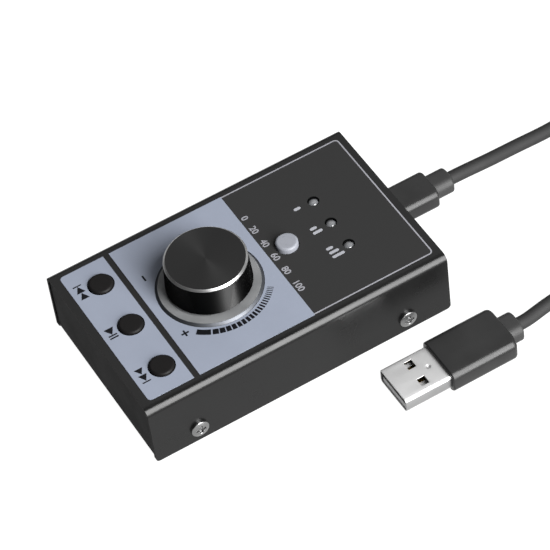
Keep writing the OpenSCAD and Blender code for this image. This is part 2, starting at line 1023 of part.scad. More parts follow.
module board_screws() {
  color(bright_steel)
    for (x = [-1, 1], y = [-1, 1])
      translate([x * post_x, y * post_y, board_z])
        union() {
          pan_head(board_head_d, board_head_h);
          translate([0, 0, -board_t - board_screw_reach])
            cylinder(d = board_screw_d, h = board_t + board_screw_reach + 0.2);
        }
}

module controller_chip() {
  color(dark_chip)
    translate([chip_x, chip_edge_in - board_w / 2, board_z])
      union() {
        translate([-chip_w / 2, -chip_w / 2, 0.1])
          cube([chip_w, chip_w, chip_t]);
        for (a = [0:90:270], i = [-3:3])
          rotate([0, 0, a])
            translate([i * chip_lead_pitch - chip_lead[0] / 2, chip_w / 2 - 0.2, 0])
              cube(chip_lead);
      }
}

module crystal() {
  color(bright_steel)
    translate([crystal_x, crystal_edge_in - board_w / 2, board_z])
      linear_extrude(crystal_h)
        round_rect(crystal_w[0], crystal_w[1], crystal_r);
}

module small_parts() {
  turned = [chip_part[1], chip_part[0], chip_part[2]];
  color("#8c8378")
    union() {
      for (i = [0:5])
        translate([row_x + chip_part_pitch * i, board_w / 2 - row_edge_in, board_z])
          cube(chip_part);
      for (i = [0:3])
        translate([column_x + chip_part_pitch * i, column_edge_in - board_w / 2, board_z])
          cube(turned);
      translate([can_x, board_w / 2 - can_edge_in, board_z])
        cylinder(d = can_d, h = can_h);
      translate([diode_x, board_w / 2 - diode_edge_in, board_z])
        cube(diode);
    }
}

// ---- socket and device plug ----

module socket_shell() {
  color(bright_steel)
    translate([0, 0, port_z])
      difference() {
        along_x(socket_back, socket_l)
          socket_outline(0);
        along_x(socket_back - 1, socket_l + 2)
          socket_outline(-socket_wall);
      }
}

module socket_tongue() {
  color(dark_chip)
    translate([0, 0, port_z])
      union() {
        along_x(socket_back, socket_block_l)
          socket_outline(-socket_wall);
        translate([socket_back, -socket_tongue_w / 2, -socket_tongue_t / 2])
          cube([socket_block_l + socket_tongue_l, socket_tongue_w, socket_tongue_t]);
      }
}

module c_plug_shell() {
  color(bright_steel)
    translate([0, 0, port_z])
      difference() {
        along_x(c_shell_x, c_mold_x - c_shell_x)
          round_rect(c_shell_w, c_shell_h, c_shell_h / 2 - 0.01);
        along_x(c_shell_x - 1, c_mold_x - c_shell_x - 0.5)
          round_rect(c_shell_w - 2 * c_shell_wall, c_shell_h - 2 * c_shell_wall, 0.9);
      }
}

module c_plug_mold() {
  color(black_rubber)
    translate([0, 0, port_z])
      plug_body(c_mold_x, c_mold_l, c_mold_w, c_mold_h, c_edge_r, mold_corner_r);
}

module c_plug_relief() {
  color(black_rubber)
    translate([0, 0, port_z])
      plug_body(c_relief_x, c_relief_l, c_relief_w, c_relief_h, relief_edge_r, relief_corner_r);
}

// ---- cord ----

function unit(v) = v / norm(v);

function heading(path, i) =
  i == 0 ? unit(path[1] - path[0])
  : i == len(path) - 1 ? unit(path[i] - path[i - 1])
  : unit(unit(path[i + 1] - path[i]) + unit(path[i] - path[i - 1]));

// One ring of a tube, square to the path at point i
function ring(path, i, r, sides) =
  let (
    forward = heading(path, i),
    across = unit(cross([0, 0, 1], forward)),
    up = cross(forward, across)
  )
  [for (k = [0:sides - 1])
    let (a = 360 * (k + 0.5) / sides)
    path[i] + r * (cos(a) * across + sin(a) * up)];

// A closed tube along a path, with flat ends
module tube(path, r, sides) {
  n = len(path);
  points = [for (i = [0:n - 1]) each ring(path, i, r, sides)];
  walls = [for (i = [0:n - 2], k = [0:sides - 1])
    let (a = i * sides + k, b = i * sides + (k + 1) % sides)
    each [[a, a + sides, b], [b, a + sides, b + sides]]];
  last = (n - 1) * sides;
  start_cap = [for (k = [1:sides - 2]) [0, k, k + 1]];
  end_cap = [for (k = [1:sides - 2]) [last, last + k + 1, last + k]];
  polyhedron(points, concat(walls, start_cap, end_cap));
}

// Point of the coil after a number of turns, clockwise from the side at +Y. It spirals
// in and out again, and drops a layer in the half turn where the spiral reverses.
coil_total = 2 * coil_turns_in + 0.5;
function coil_radius(turn) = coil_outer_r - coil_step * min(turn, coil_total - turn);
function coil_drop(turn) = min(max((turn - coil_turns_in) / 0.5, 0), 1);
function coil_point(turn) =
  let (
    a = 90 - 360 * turn,
    drop = (1 - cos(180 * coil_drop(turn))) / 2
  )
  [coil_x + coil_radius(turn) * cos(a), coil_y + coil_radius(turn) * sin(a),
    coil_low_z + coil_step * (1 - drop)];
coil_count = coil_total * coil_rings;
coil_path = concat(
  [coil_point(0) - [coil_lead, 0, 0]],
  [for (i = [0:coil_count]) coil_point(i / coil_rings)],
  [coil_point(coil_total) - [coil_lead, 0, 0]]
);

// Least gap of the coil to itself, between points more than half a turn apart
coil_gap = min([for (i = [1:len(coil_path) - 2], j = [i + coil_rings / 2:1:len(coil_path) - 2])
  norm(coil_path[i] - coil_path[j])]) - cord_d;
echo(coil_gap = coil_gap);

// A route whose ends meet the plug and the coil, also where another size has moved them
function drawn(points, first, last) =
  let (n = len(points) - 1)
  [for (i = [0:n])
    let (near = (1 + cos(180 * i / n)) / 2)
    points[i] + near * (first - points[0]) + (1 - near) * (last - points[n])];
device_end = [c_relief_x + c_relief_l, 0, port_z];
plug_end = [a_relief_x + a_relief_l, a_plug_y, a_axis_z];
route_device = drawn(device_points, device_end, coil_path[0]);
route_plug = drawn(plug_points, coil_path[len(coil_path) - 1], plug_end);

module cord_at_device() {
  color(black_rubber)
    tube(route_device, cord_d / 2, cord_sides);
}

module cord_at_plug() {
  color(black_rubber)
    tube(route_plug, cord_d / 2, cord_sides);
}

module cord_coil() {
  color(black_rubber)
    tube(coil_path, cord_d / 2, coil_sides);
}

module coil_tie() {
  inner = coil_outer_r - coil_step * coil_total / 2 - cord_d / 2 - tie_side_gap;
  outer = coil_outer_r + cord_d / 2 + tie_side_gap;
  low = coil_low_z - cord_d / 2 - tie_gap;
  high = coil_low_z + coil_step + cord_d / 2 + tie_gap;
  color(dark_chip)
    translate([coil_x, coil_y + tie_w / 2, 0])
      rotate([90, 0, 0])
        linear_extrude(tie_w)
          difference() {
            translate([inner - tie_t, low - tie_t])
              square([outer - inner + 2 * tie_t, high - low + 2 * tie_t]);
            translate([inner, low])
              square([outer - inner, high - low]);
          }
}

// ---- computer plug ----

module a_plug_shell() {
  inside_w = a_shell_w - 2 * a_shell_wall;
  inside_h = a_shell_h - 2 * a_shell_wall;
  color(bright_steel)
    translate([0, a_plug_y, a_axis_z])
      difference() {
        along_x(a_plug_x, a_shell_l)
          round_rect(a_shell_w, a_shell_h, 0.8);
        along_x(a_plug_x - 1, a_shell_l + 2)
          round_rect(inside_w, inside_h, 0.5);
        for (s = [-1, 1])
          translate([a_plug_x + a_window_at[0] - a_window[0] / 2,
              s * a_window_at[1] - a_window[1] / 2, -a_shell_h])
            cube([a_window[0], a_window[1], 2 * a_shell_h]);
        translate([a_plug_x + a_dimple_at, 0, a_shell_h / 2 + a_dimple_ball - a_dimple_deep])
          sphere(a_dimple_ball);
      }
}

module a_plug_tongue() {
  low = a_shell_wall - a_shell_h / 2;
  w = a_shell_w - 2 * a_shell_wall - 1;
  color(cream_plastic)
    translate([a_plug_x + 0.3, a_plug_y - w / 2, a_axis_z + low])
      cube([a_shell_l - 0.3, w, a_tongue_h]);
}

module a_plug_contacts() {
  low = a_axis_z + a_shell_wall - a_shell_h / 2 + a_tongue_h;
  color(gold)
    for (y = [-3.5, -1, 1, 3.5])
      translate([a_plug_x + 1.2, a_plug_y + y - 0.5, low])
        cube([8, 1, a_contact_t]);
}

module a_plug_mold() {
  color(black_rubber)
    translate([0, a_plug_y, a_axis_z])
      plug_body(a_mold_x, a_mold_l, a_mold_w, a_mold_h, a_edge_r, a_corner_r);
}

module a_plug_relief() {
  color(black_rubber)
    translate([0, a_plug_y, a_axis_z])
      plug_body(a_relief_x, a_relief_l, a_relief_w, a_relief_h, relief_edge_r, relief_corner_r);
}

top_cover();
base_tray();
cover_screws();
rubber_feet();
panel_film();
bezel_ring();
knob_cap();
knob_insert();
encoder_shaft();
encoder_nut();
encoder_washer();
encoder_frame();
encoder_base();
encoder_rotor();
detent_spring();
push_plunger();
push_dome();
encoder_pins();
previous_key();
play_key();
next_key();
mode_key();
previous_plunger();
play_plunger();
next_plunger();
mode_plunger();
switch_bodies();
switch_covers();
switch_pins();
led_lenses();
led_spacers();
led_leads();
circuit_board();
board_posts();
board_screws();
controller_chip();
crystal();
small_parts();
socket_shell();
socket_tongue();
c_plug_shell();
c_plug_mold();
c_plug_relief();
cord_at_device();
cord_coil();
coil_tie();
cord_at_plug();
a_plug_shell();
a_plug_tongue();
a_plug_contacts();
a_plug_mold();
a_plug_relief();
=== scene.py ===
import math

import bmesh
import bpy
import numpy as np
from mathutils import Euler, Matrix, Vector


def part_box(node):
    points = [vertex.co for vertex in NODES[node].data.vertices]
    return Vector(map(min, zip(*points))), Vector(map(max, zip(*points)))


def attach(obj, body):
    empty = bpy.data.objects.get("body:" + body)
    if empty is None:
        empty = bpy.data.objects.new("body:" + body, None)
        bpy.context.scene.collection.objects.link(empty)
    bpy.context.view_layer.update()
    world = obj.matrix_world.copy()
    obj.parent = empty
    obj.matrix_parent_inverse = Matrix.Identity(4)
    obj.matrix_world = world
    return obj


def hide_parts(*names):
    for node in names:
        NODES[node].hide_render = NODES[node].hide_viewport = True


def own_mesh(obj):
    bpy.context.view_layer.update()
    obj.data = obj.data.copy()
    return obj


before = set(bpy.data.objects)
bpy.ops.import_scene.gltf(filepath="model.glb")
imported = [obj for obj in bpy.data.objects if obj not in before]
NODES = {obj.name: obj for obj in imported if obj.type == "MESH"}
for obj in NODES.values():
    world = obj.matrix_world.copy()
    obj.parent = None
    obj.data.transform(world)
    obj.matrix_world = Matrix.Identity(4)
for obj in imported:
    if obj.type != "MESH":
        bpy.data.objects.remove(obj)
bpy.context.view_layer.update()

bl_info = {
    "name": "Desk volume knob",
    "version": (1, 0, 0),
    "blender": (4, 5, 0),
    "location": "3D View > Sidebar > Volume knob",
    "description": "Finishes, printed marks, turned parts and lead of a desk volume controller",
    "category": "Object",
}

MM = 0.001
TURN = 2 * math.pi


def box_of(node):
    """Lowest and highest corner of a CAD node, as arrays in metres."""
    low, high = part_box(node)
    return np.array(low), np.array(high)


KNOB_LOW, KNOB_HIGH = box_of("knob_cap")
KNOB_AXIS = (KNOB_LOW + KNOB_HIGH) / 2 * (1, 1, 0)
PANEL_Z = box_of("top_cover")[1][2]
FILM_Z = box_of("panel_film")[1][2]
# Printed white line on the panel, in millimetres
LINE_LEFT, LINE_RIGHT, LINE_FAR, LINE_NEAR = 6.2, 40.2, 22.85, -22.75


# ---- meshes ----


def closed_faces(rows, columns, wrap_rows=False):
    """Quads of a grid whose columns run round, and whose rows run round too if asked:
    each face takes the points (i, j), (i, j+1), (i+1, j+1), (i+1, j)."""
    starts = rows if wrap_rows else rows - 1
    i, j = np.meshgrid(np.arange(starts), np.arange(columns), indexing="ij")
    below, beside = (i + 1) % rows, (j + 1) % columns
    corners = [i * columns + j, i * columns + beside,
               below * columns + beside, below * columns + j]
    return np.stack(corners, -1).reshape(-1, 4).tolist()


def skin(grid, wrap_rows=False, caps=False, look=0):
    """A grid of points, rows by columns by 3, as (points, faces, looks). Caps close the
    first and last row with a flat face."""
    rows, columns = grid.shape[:2]
    faces = closed_faces(rows, columns, wrap_rows)
    if caps:
        last = (rows - 1) * columns
        faces += [list(range(columns))[::-1], list(range(last, last + columns))]
    return grid.reshape(-1, 3), faces, [look] * len(faces)


def lathe(profile, centre, sides, look=0):
    """Surface of revolution about Z: (r cos a, r sin a, z) for each (r, z) of the profile,
    in millimetres, and a in even steps round the circle."""
    r, z = np.asarray(profile, float).T
    a = np.arange(sides) * TURN / sides
    grid = np.stack([np.outer(r, np.cos(a)), np.outer(r, np.sin(a)),
                     np.outer(z, np.ones(sides))], -1)
    return skin(grid * MM + np.asarray(centre), look=look)


def slab(outline, low, high):
    """Flat prism: an outline of (x, y) points in millimetres between two heights in metres."""
    flat = np.asarray(outline, float) * MM
    grid = np.stack([np.column_stack([flat, np.full(len(flat), z)]) for z in (low, high)])
    return skin(grid, caps=True)


def ribbon(path, width, low, high):
    """Raised line: at each (x, y) of the path, in millimetres, a rectangle that is square to
    the path's heading, width wide and from low to high, in metres."""
    p = np.asarray(path, float)
    ahead = np.roll(p, -1, 0) - np.roll(p, 1, 0)
    ahead[0], ahead[-1] = p[1] - p[0], p[-1] - p[-2]
    ahead /= np.linalg.norm(ahead, axis=1, keepdims=True)
    side = np.stack([-ahead[:, 1], ahead[:, 0]], -1) * width / 2
    corners = [(p + side, low), (p - side, low), (p - side, high), (p + side, high)]
    grid = np.stack([np.column_stack([q * MM, np.full(len(p), z)]) for q, z in corners], 1)
    return skin(grid, caps=True)


def rounded(points, radii, steps=4):
    """A flat polyline with its inner corners turned into arcs. An arc of radius r starts and
    ends r / tan(half the corner's angle) from the corner, and its points are a spherical
    blend of those two ends as seen from its centre."""
    points = np.asarray(points, float)
    out = [points[:1]]
    for before, at, after, r in zip(points[:-2], points[1:-1], points[2:], radii):
        if not r:
            out.append(at[None])
            continue
        a = (before - at) / np.linalg.norm(before - at)
        b = (after - at) / np.linalg.norm(after - at)
        half = math.acos(float(np.clip(a @ b, -1, 1))) / 2
        centre = at + (a + b) / np.linalg.norm(a + b) * r / math.sin(half)
        start, end = at + a * r / math.tan(half) - centre, at + b * r / math.tan(half) - centre
        sweep = math.pi - 2 * half
        t = np.linspace(0, 1, steps + 1)[:, None]
        arc = (np.sin((1 - t) * sweep) * start + np.sin(t * sweep) * end) / math.sin(sweep)
        out.append(centre + arc)
    return np.concatenate(out + [points[-1:]])


def round_rect(w, h, r, steps=6):
    """Rounded rectangles, one for each row of w, h and r: quarter arcs of radius r about four
    centres that stand r inside the sides. Gives rows by points by 2."""
    w, h, r = (np.atleast_1d(np.asarray(v, float))[:, None] for v in np.broadcast_arrays(w, h, r))
    quarter = np.repeat(np.arange(4), steps + 1)
    a = (quarter + np.tile(np.linspace(0, 1, steps + 1), 4)) * TURN / 4
    middle = (quarter + 0.5) * TURN / 4
    x = np.sign(np.cos(middle)) * (w / 2 - r) + r * np.cos(a)
    y = np.sign(np.sin(middle)) * (h / 2 - r) + r * np.sin(a)
    return np.stack([x, y], -1)


def moulding(x0, length, w, h, edge, corner, soft, y, z, look=0):
    """Plug body along X, in millimetres: rounded rectangles that shrink by the arc
    soft - sqrt(soft^2 - t^2) over the last bit before each end, and in width also by the
    plan corner's arc at the far end."""
    end_steps, corner_steps, body_steps, edge_steps = 7, 12, 8, 9
    # The plan's arc stops short of a quarter, so the far end keeps a face
    arc_share, sharpest = 0.98, 0.2
    turn = np.linspace(0, TURN / 4, end_steps)
    bend = np.linspace(0, TURN / 4, corner_steps)
    x = np.unique(np.concatenate([
        soft * (1 - np.cos(turn)),
        np.linspace(soft, length - corner, body_steps),
        length - corner + corner * np.sin(bend),
        length - soft * (1 - np.cos(turn))]).round(5))
    near_end = np.clip(soft - np.minimum(x, length - x), 0, soft)
    inset = soft - np.sqrt(soft**2 - near_end**2)
    t = np.clip(x - (length - corner), 0, corner * arc_share)
    plan = corner - np.sqrt(corner**2 - t**2)
    outline = round_rect(w - 2 * inset - 2 * plan, h - 2 * inset,
                         np.maximum(edge - inset, sharpest), edge_steps)
    along = np.broadcast_to((x0 + x)[:, None], outline.shape[:2])
    grid = np.stack([along, y + outline[..., 0], z + outline[..., 1]], -1) * MM
    return skin(grid, caps=True, look=look)


def smooth_path(points, spacing):
    """Natural cubic spline through the points, over the distance along their chords. The
    second derivatives that keep the slope even are solved for all the points at once, and
    the spline is read off at even steps."""
    p = np.asarray(points, float)
    h = np.linalg.norm(np.diff(p, axis=0), axis=1)
    s = np.concatenate([[0], np.cumsum(h)])
    n = len(p)
    system = np.eye(n)
    middle = np.arange(1, n - 1)
    system[middle, middle - 1] = h[:-1]
    system[middle, middle] = 2 * (h[:-1] + h[1:])
    system[middle, middle + 1] = h[1:]
    slope = np.diff(p, axis=0) / h[:, None]
    target = np.zeros_like(p)
    target[1:-1] = 6 * np.diff(slope, axis=0)
    bend = np.linalg.solve(system, target)
    at = np.linspace(0, s[-1], int(s[-1] / spacing) + 1)
    k = np.clip(np.searchsorted(s, at, side="right") - 1, 0, n - 2)
    w = h[k][:, None]
    b = (at - s[k])[:, None] / w
    a = 1 - b
    curve = a * p[k] + b * p[k + 1]
    return curve + ((a**3 - a) * bend[k] + (b**3 - b) * bend[k + 1]) * w**2 / 6


def tube(path, radius, sides):
    """Round tube: at each point of the path a circle in the plane that is square to the
    path's heading, with closed ends."""
    ahead = np.gradient(path, axis=0)
    ahead /= np.linalg.norm(ahead, axis=1, keepdims=True)
    across = np.cross((0, 0, 1), ahead)
    across /= np.linalg.norm(across, axis=1, keepdims=True)
    up = np.cross(ahead, across)
    a = (np.arange(sides) * TURN / sides)[:, None]
    grid = path[:, None] + radius * (np.cos(a) * across[:, None] + np.sin(a) * up[:, None])
    return skin(grid, caps=True)


def make_piece(name, skins, finishes, body, stands_for=(), *, crease=32):
    """Joins skins into one object at the origin, closes seams and poles, turns the faces
    outwards, shades it smooth up to the crease angle, puts it under its body's empty and hides
    the CAD nodes that it stands for."""
    points, faces, looks, count = [], [], [], 0
    for p, f, k in skins:
        points.append(p)
        faces += [[v + count for v in face] for face in f]
        looks += k
        count += len(p)
    mesh = bpy.data.meshes.new(name)
    mesh.from_pydata(np.concatenate(points).tolist(), [], faces)
    mesh.polygons.foreach_set("material_index", looks)
    for worn in finishes:
        mesh.materials.append(worn)
    work = bmesh.new()
    work.from_mesh(mesh)
    bmesh.ops.remove_doubles(work, verts=work.verts, dist=1e-7)
    bmesh.ops.recalc_face_normals(work, faces=work.faces)
    work.to_mesh(mesh)
    work.free()
    mesh.polygons.foreach_set("use_smooth", np.ones(len(mesh.polygons), bool))
    mesh.set_sharp_from_angle(angle=math.radians(crease))
    mesh.update()
    obj = bpy.data.objects.new(name, mesh)
    bpy.context.scene.collection.objects.link(obj)
    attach(obj, body)
    if stands_for:
        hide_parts(*stands_for)
    return obj


def dress(worn, *nodes):
    """Gives CAD nodes a finish."""
    for name in nodes:
        mesh = NODES[name].data
        mesh.materials.clear()
        mesh.materials.append(worn)


# ---- finishes ----


def linear(code):
    """sRGB hex colour as linear red, green, blue and alpha."""
    c = np.array([int(code[k:k + 2], 16) for k in (1, 3, 5)]) / 255
    c = np.where(c <= 0.04045, c / 12.92, ((c + 0.055) / 1.055) ** 2.4)
    return (*c.tolist(), 1.0)


def add(tree, kind, inputs=(), **settings):
    """Adds a node, with its settings and with its inputs set or linked."""
    made = tree.nodes.new("ShaderNode" + kind)
    for key, value in settings.items():
        setattr(made, key, value)
    for key, value in dict(inputs).items():
        if isinstance(value, bpy.types.NodeSocket):
            tree.links.new(value, made.inputs[key])
        else:
            made.inputs[key].default_value = value
    return made


# A cloud is a soft patch in colour and gloss: its size, the share of the noise's range that
# it uses, and how far the roughness wanders
CLOUD = 9 * MM
CLOUD_LOW, CLOUD_HIGH = 0.3, 0.7
WANDER = 0.04
# The wave texture multiplies its scale by this number
WAVE_FACTOR = 20


def colour_of(code):
    """Linear colour of a hex code, or of the colour setting with that name."""
    return linear(code) if code.startswith("#") else getattr(bpy.context.scene.knob_colours, code)


def emboss(tree, pattern, relief):
    """Lets a pattern raise the surface by its relief, in millimetres."""
    bump = add(tree, "Bump", {"Height": pattern.outputs["Fac"], "Distance": relief * MM,
                              "Strength": 1.0})
    tree.links.new(bump.outputs["Normal"], tree.nodes["Principled BSDF"].inputs["Normal"])


def new_finish(name, colour, roughness, metallic=0.0, *, grain=None, relief=0.0, mottle=0.06,
               **shader):
    """Material with a faint cloud in its colour and roughness and, if grain is given, a fine
    grain in relief. grain is the texture's size and relief its height, in millimetres, and
    mottle is how far the colour wanders. The rest are the shader's own inputs."""
    made = bpy.data.materials.new(name)
    made.use_nodes = True
    tree = made.node_tree
    surface = tree.nodes["Principled BSDF"]
    surface.inputs["Metallic"].default_value = metallic
    for key, value in shader.items():
        surface.inputs[key.replace("_", " ")].default_value = value
    place = add(tree, "TexCoord").outputs["Object"]
    cloud = add(tree, "TexNoise", {"Vector": place, "Scale": 1 / CLOUD, "Detail": 3.0})
    tint = add(tree, "ValToRGB", {"Fac": cloud.outputs["Fac"]})
    base = np.array(colour_of(colour)[:3])
    stops = (CLOUD_LOW, 1 - mottle), (CLOUD_HIGH, 1 + mottle)
    for stop, (at, share) in zip(tint.color_ramp.elements, stops):
        stop.position = at
        stop.color = (*np.clip(base * share, 0, 1).tolist(), 1)
    tree.links.new(tint.outputs["Color"], surface.inputs["Base Color"])
    gloss = add(tree, "MapRange", {
        "Value": cloud.outputs["Fac"], "From Min": CLOUD_LOW, "From Max": CLOUD_HIGH,
        "To Min": roughness - WANDER, "To Max": roughness + WANDER})
    tree.links.new(gloss.outputs["Result"], surface.inputs["Roughness"])
    if grain:
        fine = add(tree, "TexNoise", {"Vector": place, "Scale": 1 / (grain * MM), "Detail": 2.0})
        emboss(tree, fine, relief)
    return made


def turned_finish(name, pitch, groove, anisotropic, **recipe):
    """Metal turned on a lathe: rings about the knob's axis whose phase is r / pitch, groove
    high, and a highlight that the grooves spread across themselves. In millimetres."""
    made = new_finish(name, Anisotropic=anisotropic, Anisotropic_Rotation=0.25, **recipe)
    tree = made.node_tree
    place = add(tree, "TexCoord").outputs["Object"]
    centred = add(tree, "Mapping", {"Vector": place, "Location": [-v for v in KNOB_AXIS]})
    grooves = add(tree, "TexWave", {
        "Vector": centred.outputs["Vector"], "Scale": 1 / (WAVE_FACTOR * pitch * MM),
        "Distortion": 0.6, "Detail": 2.0, "Detail Scale": 1.5},
        wave_type="RINGS", rings_direction="Z")
    emboss(tree, grooves, groove)
    tangent = add(tree, "Tangent", direction_type="RADIAL", axis="Z")
    tree.links.new(tangent.outputs["Tangent"], tree.nodes["Principled BSDF"].inputs["Tangent"])
    return made


def split_place(tree):
    """X, Y and Z of the point on the piece, in metres."""
    place = add(tree, "TexCoord").outputs["Object"]
    return add(tree, "SeparateXYZ", {"Vector": place}).outputs


def cover_up(made, mask, code):
    """Where the mask is one, another colour covers the material's own."""
    tree = made.node_tree
    base = tree.nodes["Principled BSDF"].inputs["Base Color"]
    mixed = add(tree, "MixRGB", {"Fac": mask, "Color1": base.links[0].from_socket,
                                 "Color2": linear(code)})
    tree.links.new(mixed.outputs["Color"], base)
    return made


def fielded_coat(name, **recipe):
    """Powder coat with a dark field printed on it: the mask is one where x and y are inside the
    white line's rectangle. The field's colour is print, lightened like the coat's own colour here
    as painted sheen."""
    made = new_finish(name, **recipe)
    tree = made.node_tree
    at = split_place(tree)
    middle, half = (LINE_LEFT + LINE_RIGHT) / 2 * MM, (LINE_RIGHT - LINE_LEFT) / 2 * MM
    in_x = add(tree, "Math", {0: at["X"], 1: middle, 2: half}, operation="COMPARE")
    in_y = add(tree, "Math", {0: at["Y"], 1: 0.0, 2: LINE_FAR * MM}, operation="COMPARE")
    inside = add(tree, "Math", {0: in_x.outputs[0], 1: in_y.outputs[0]}, operation="MULTIPLY")
    return cover_up(made, inside.outputs[0], "#222222")


def seam_shadow_coat(name, **recipe):
    """Powder coat with a painted shadow: black in the seam under the cover, where the gap between
    the sheets lies in shade. The mask rises from zero to one just below the end panels' tops."""
    made = new_finish(name, **recipe)
    tree = made.node_tree
    top = box_of("base_tray")[1][2]
    start, full = 0.55 * MM, 0.3 * MM
    seam = add(tree, "MapRange", {"Value": split_place(tree)["Z"], "From Min": top - start,
                                  "From Max": top - full})
    return cover_up(made, seam.outputs["Result"], "#000000")


# Each finish's colour is a hex code or the name of a colour setting, and lengths are in
# millimetres
RECIPES = {
    # Baked powder coat: a fine even orange peel that softens every highlight
    "powder_coat_black": dict(colour="coat", roughness=0.3, grain=0.35, relief=0.006,
                              mottle=0.08, Specular_IOR_Level=0.2),
    # The same coat on the flat of the panel, matt so that it mirrors no lamp, and lighter than
    # the coat elsewhere so that its colour stands in for the sheen it would mirror: painted sheen
    "powder_coat_panel": dict(make=fielded_coat, colour="#1b1b1b", roughness=0.5, grain=0.35,
                              relief=0.006, mottle=0.05, Specular_IOR_Level=0.03),
    # The same coat, matt, on the tray and on the cover's cut ends, each in a colour of its own
    # that stands in for how the light falls on these faces (painted light), and with a painted
    # shadow in the tray's seam
    "powder_coat_tray": dict(make=seam_shadow_coat, colour="#0e0e0e", roughness=0.7, grain=0.35,
                             relief=0.008, mottle=0.08, Specular_IOR_Level=0.05),
    "powder_coat_dry": dict(colour="#151515", roughness=0.7, grain=0.35, relief=0.008,
                            mottle=0.08, Specular_IOR_Level=0.05),
    # Matt polycarbonate film printed on its back: even colour, soft sheen
    "printed_film": dict(colour="film", roughness=0.5, grain=0.12, relief=0.002, mottle=0.025,
                         Specular_IOR_Level=0.05),
    # Screen ink: flat and slightly chalky
    "ink_pale": dict(colour="#69696e", roughness=0.6, grain=0.15, relief=0.002, mottle=0.05),
    "ink_blue_grey": dict(colour="#74757a", roughness=0.6, grain=0.15, relief=0.002,
                          mottle=0.05),
    "ink_navy": dict(colour="#06070a", roughness=0.6, grain=0.15, relief=0.002, mottle=0.1,
                     Specular_IOR_Level=0.1),
    # Black anodised aluminium, turned: a dark satin face with a faint record-like sheen
    "anodised_turned": dict(make=turned_finish, colour="knob", roughness=0.4, metallic=0.2,
                            pitch=0.12, groove=0.0012, anisotropic=0.7, mottle=0.05,
                            Specular_IOR_Level=0.2),
    # The same aluminium with a polished side
    "anodised_polished": dict(make=turned_finish, colour="#232323", roughness=0.5,
                              metallic=1.0, pitch=0.15, groove=0.0003, anisotropic=1.0,
                              mottle=0.05, Specular_Tint=(0, 0, 0, 1)),
    # Edge cut after anodising: bare bright aluminium
    "cut_edge": dict(colour="#8e8e8e", roughness=0.4, metallic=1.0, grain=0.1, relief=0.0004),
    # Satin nickel over brass, turned
    "satin_nickel": dict(make=turned_finish, colour="#616263", roughness=0.55, metallic=0.22,
                         pitch=0.14, groove=0.002, anisotropic=0.5, mottle=0.22,
                         Specular_IOR_Level=0.08),
    # The ring's chamfer, cut smooth
    "nickel_edge": dict(colour="#4b4d51", roughness=0.5, metallic=1.0, grain=0.6,
                        relief=0.002, mottle=0.2),
    # Bright nickel on folded steel: mirror softened by the rolled sheet's grain, and a darker
    # copy on the plug's sides as painted shade
    "nickel_plate": dict(colour="#c4c4c4", roughness=0.5, metallic=1.0, grain=0.5,
                         relief=0.0008, mottle=0.04),
    "nickel_side": dict(colour="#868686", roughness=0.5, metallic=1.0, grain=0.5,
                        relief=0.0008, mottle=0.04),
    "screw_nickel": dict(colour="#7c7c7c", roughness=0.3, metallic=1.0, grain=0.3,
                         relief=0.001),
    # Moulded ABS with a spark-eroded texture: dark, even, a little sheen
    "abs_black": dict(colour="#0b0a0a", roughness=0.5, grain=0.16, relief=0.003, mottle=0.08,
                      Specular_IOR_Level=0.1),
    "abs_grey": dict(colour="grey_key", roughness=0.5, grain=0.16, relief=0.002, mottle=0.04,
                     Specular_IOR_Level=0.35),
    # Soft PVC: satin, a faint bloom in its colour
    "pvc_jacket": dict(colour="cord", roughness=0.75, grain=0.25, relief=0.003, mottle=0.1,
                       Specular_IOR_Level=0.3),
    "pvc_moulding": dict(colour="#1a1a1a", roughness=0.33, grain=0.5, relief=0.004,
                         mottle=0.2, Specular_IOR_Level=0.17),
    # The same compound, matt and greyer, on the strain reliefs
    "pvc_relief": dict(colour="#202020", roughness=0.55, grain=0.25, relief=0.003, mottle=0.1,
                       Specular_IOR_Level=0.24),
    # Moulded silicone rubber: matt, dusty
    "foot_rubber": dict(colour="#202020", roughness=0.8, grain=0.2, relief=0.01, mottle=0.15),
    # Cast epoxy lens: clear, with a milky core
    "lens_epoxy": dict(colour="#5f6062", roughness=0.22, grain=0.8, relief=0.0005,
                       mottle=0.12, Transmission_Weight=0.25, IOR=1.53),
    # Woven hook-and-loop strap: matt and fibrous
    "strap_nylon": dict(colour="#121213", roughness=0.85, grain=0.35, relief=0.05, mottle=0.3),
    # Solder mask over copper: glossy green with a blotchy depth
    "solder_mask": dict(colour="#0f4a2c", roughness=0.22, grain=1.6, relief=0.02, mottle=0.3),
    # Moulded epoxy of chips and switches: matt charcoal
    "chip_epoxy": dict(colour="#171718", roughness=0.6, grain=0.1, relief=0.004, mottle=0.12),
    # Glass-filled nylon: cream, slightly speckled
    "nylon_cream": dict(colour="#d6d1c4", roughness=0.5, grain=0.3, relief=0.003, mottle=0.08),
    # White nylon tongue of the computer plug
    "nylon_pale": dict(colour="#9c9c9c", roughness=0.5, grain=0.3, relief=0.003, mottle=0.04),
    # Tinned and plated metals inside
    "tinned_brass": dict(colour="#b9b6ae", roughness=0.3, metallic=1.0, grain=0.4,
                         relief=0.001),
    "brass_plain": dict(colour="#b5924a", roughness=0.3, metallic=1.0, grain=0.4,
                        relief=0.001),
    # The gold flash is darkened as painted shade, for the contacts deep in the plug's mouth
    "gold_flash": dict(colour="#8a7444", roughness=0.25, metallic=1.0, grain=0.4,
                       relief=0.0005),
    # Ceramic chip parts: grey-brown, gritty
    "ceramic": dict(colour="#7d6f5e", roughness=0.55, grain=0.2, relief=0.004, mottle=0.2),
    # Studio paper: it glows, so that it stays white and shows no shadow
    "studio_paper": dict(colour="#505050", roughness=0.9, grain=2, relief=0.001, mottle=0.003,
                         Emission_Color=(1, 1, 1, 1), Emission_Strength=1.0,
                         Specular_IOR_Level=0.1),
}
FINISHES = {}


def finish(name):
    """The named finish, made the first time that it is asked for."""
    if name not in FINISHES:
        recipe = dict(RECIPES[name])
        FINISHES[name] = recipe.pop("make", new_finish)(name, **recipe)
    return FINISHES[name]


# ---- settings ----


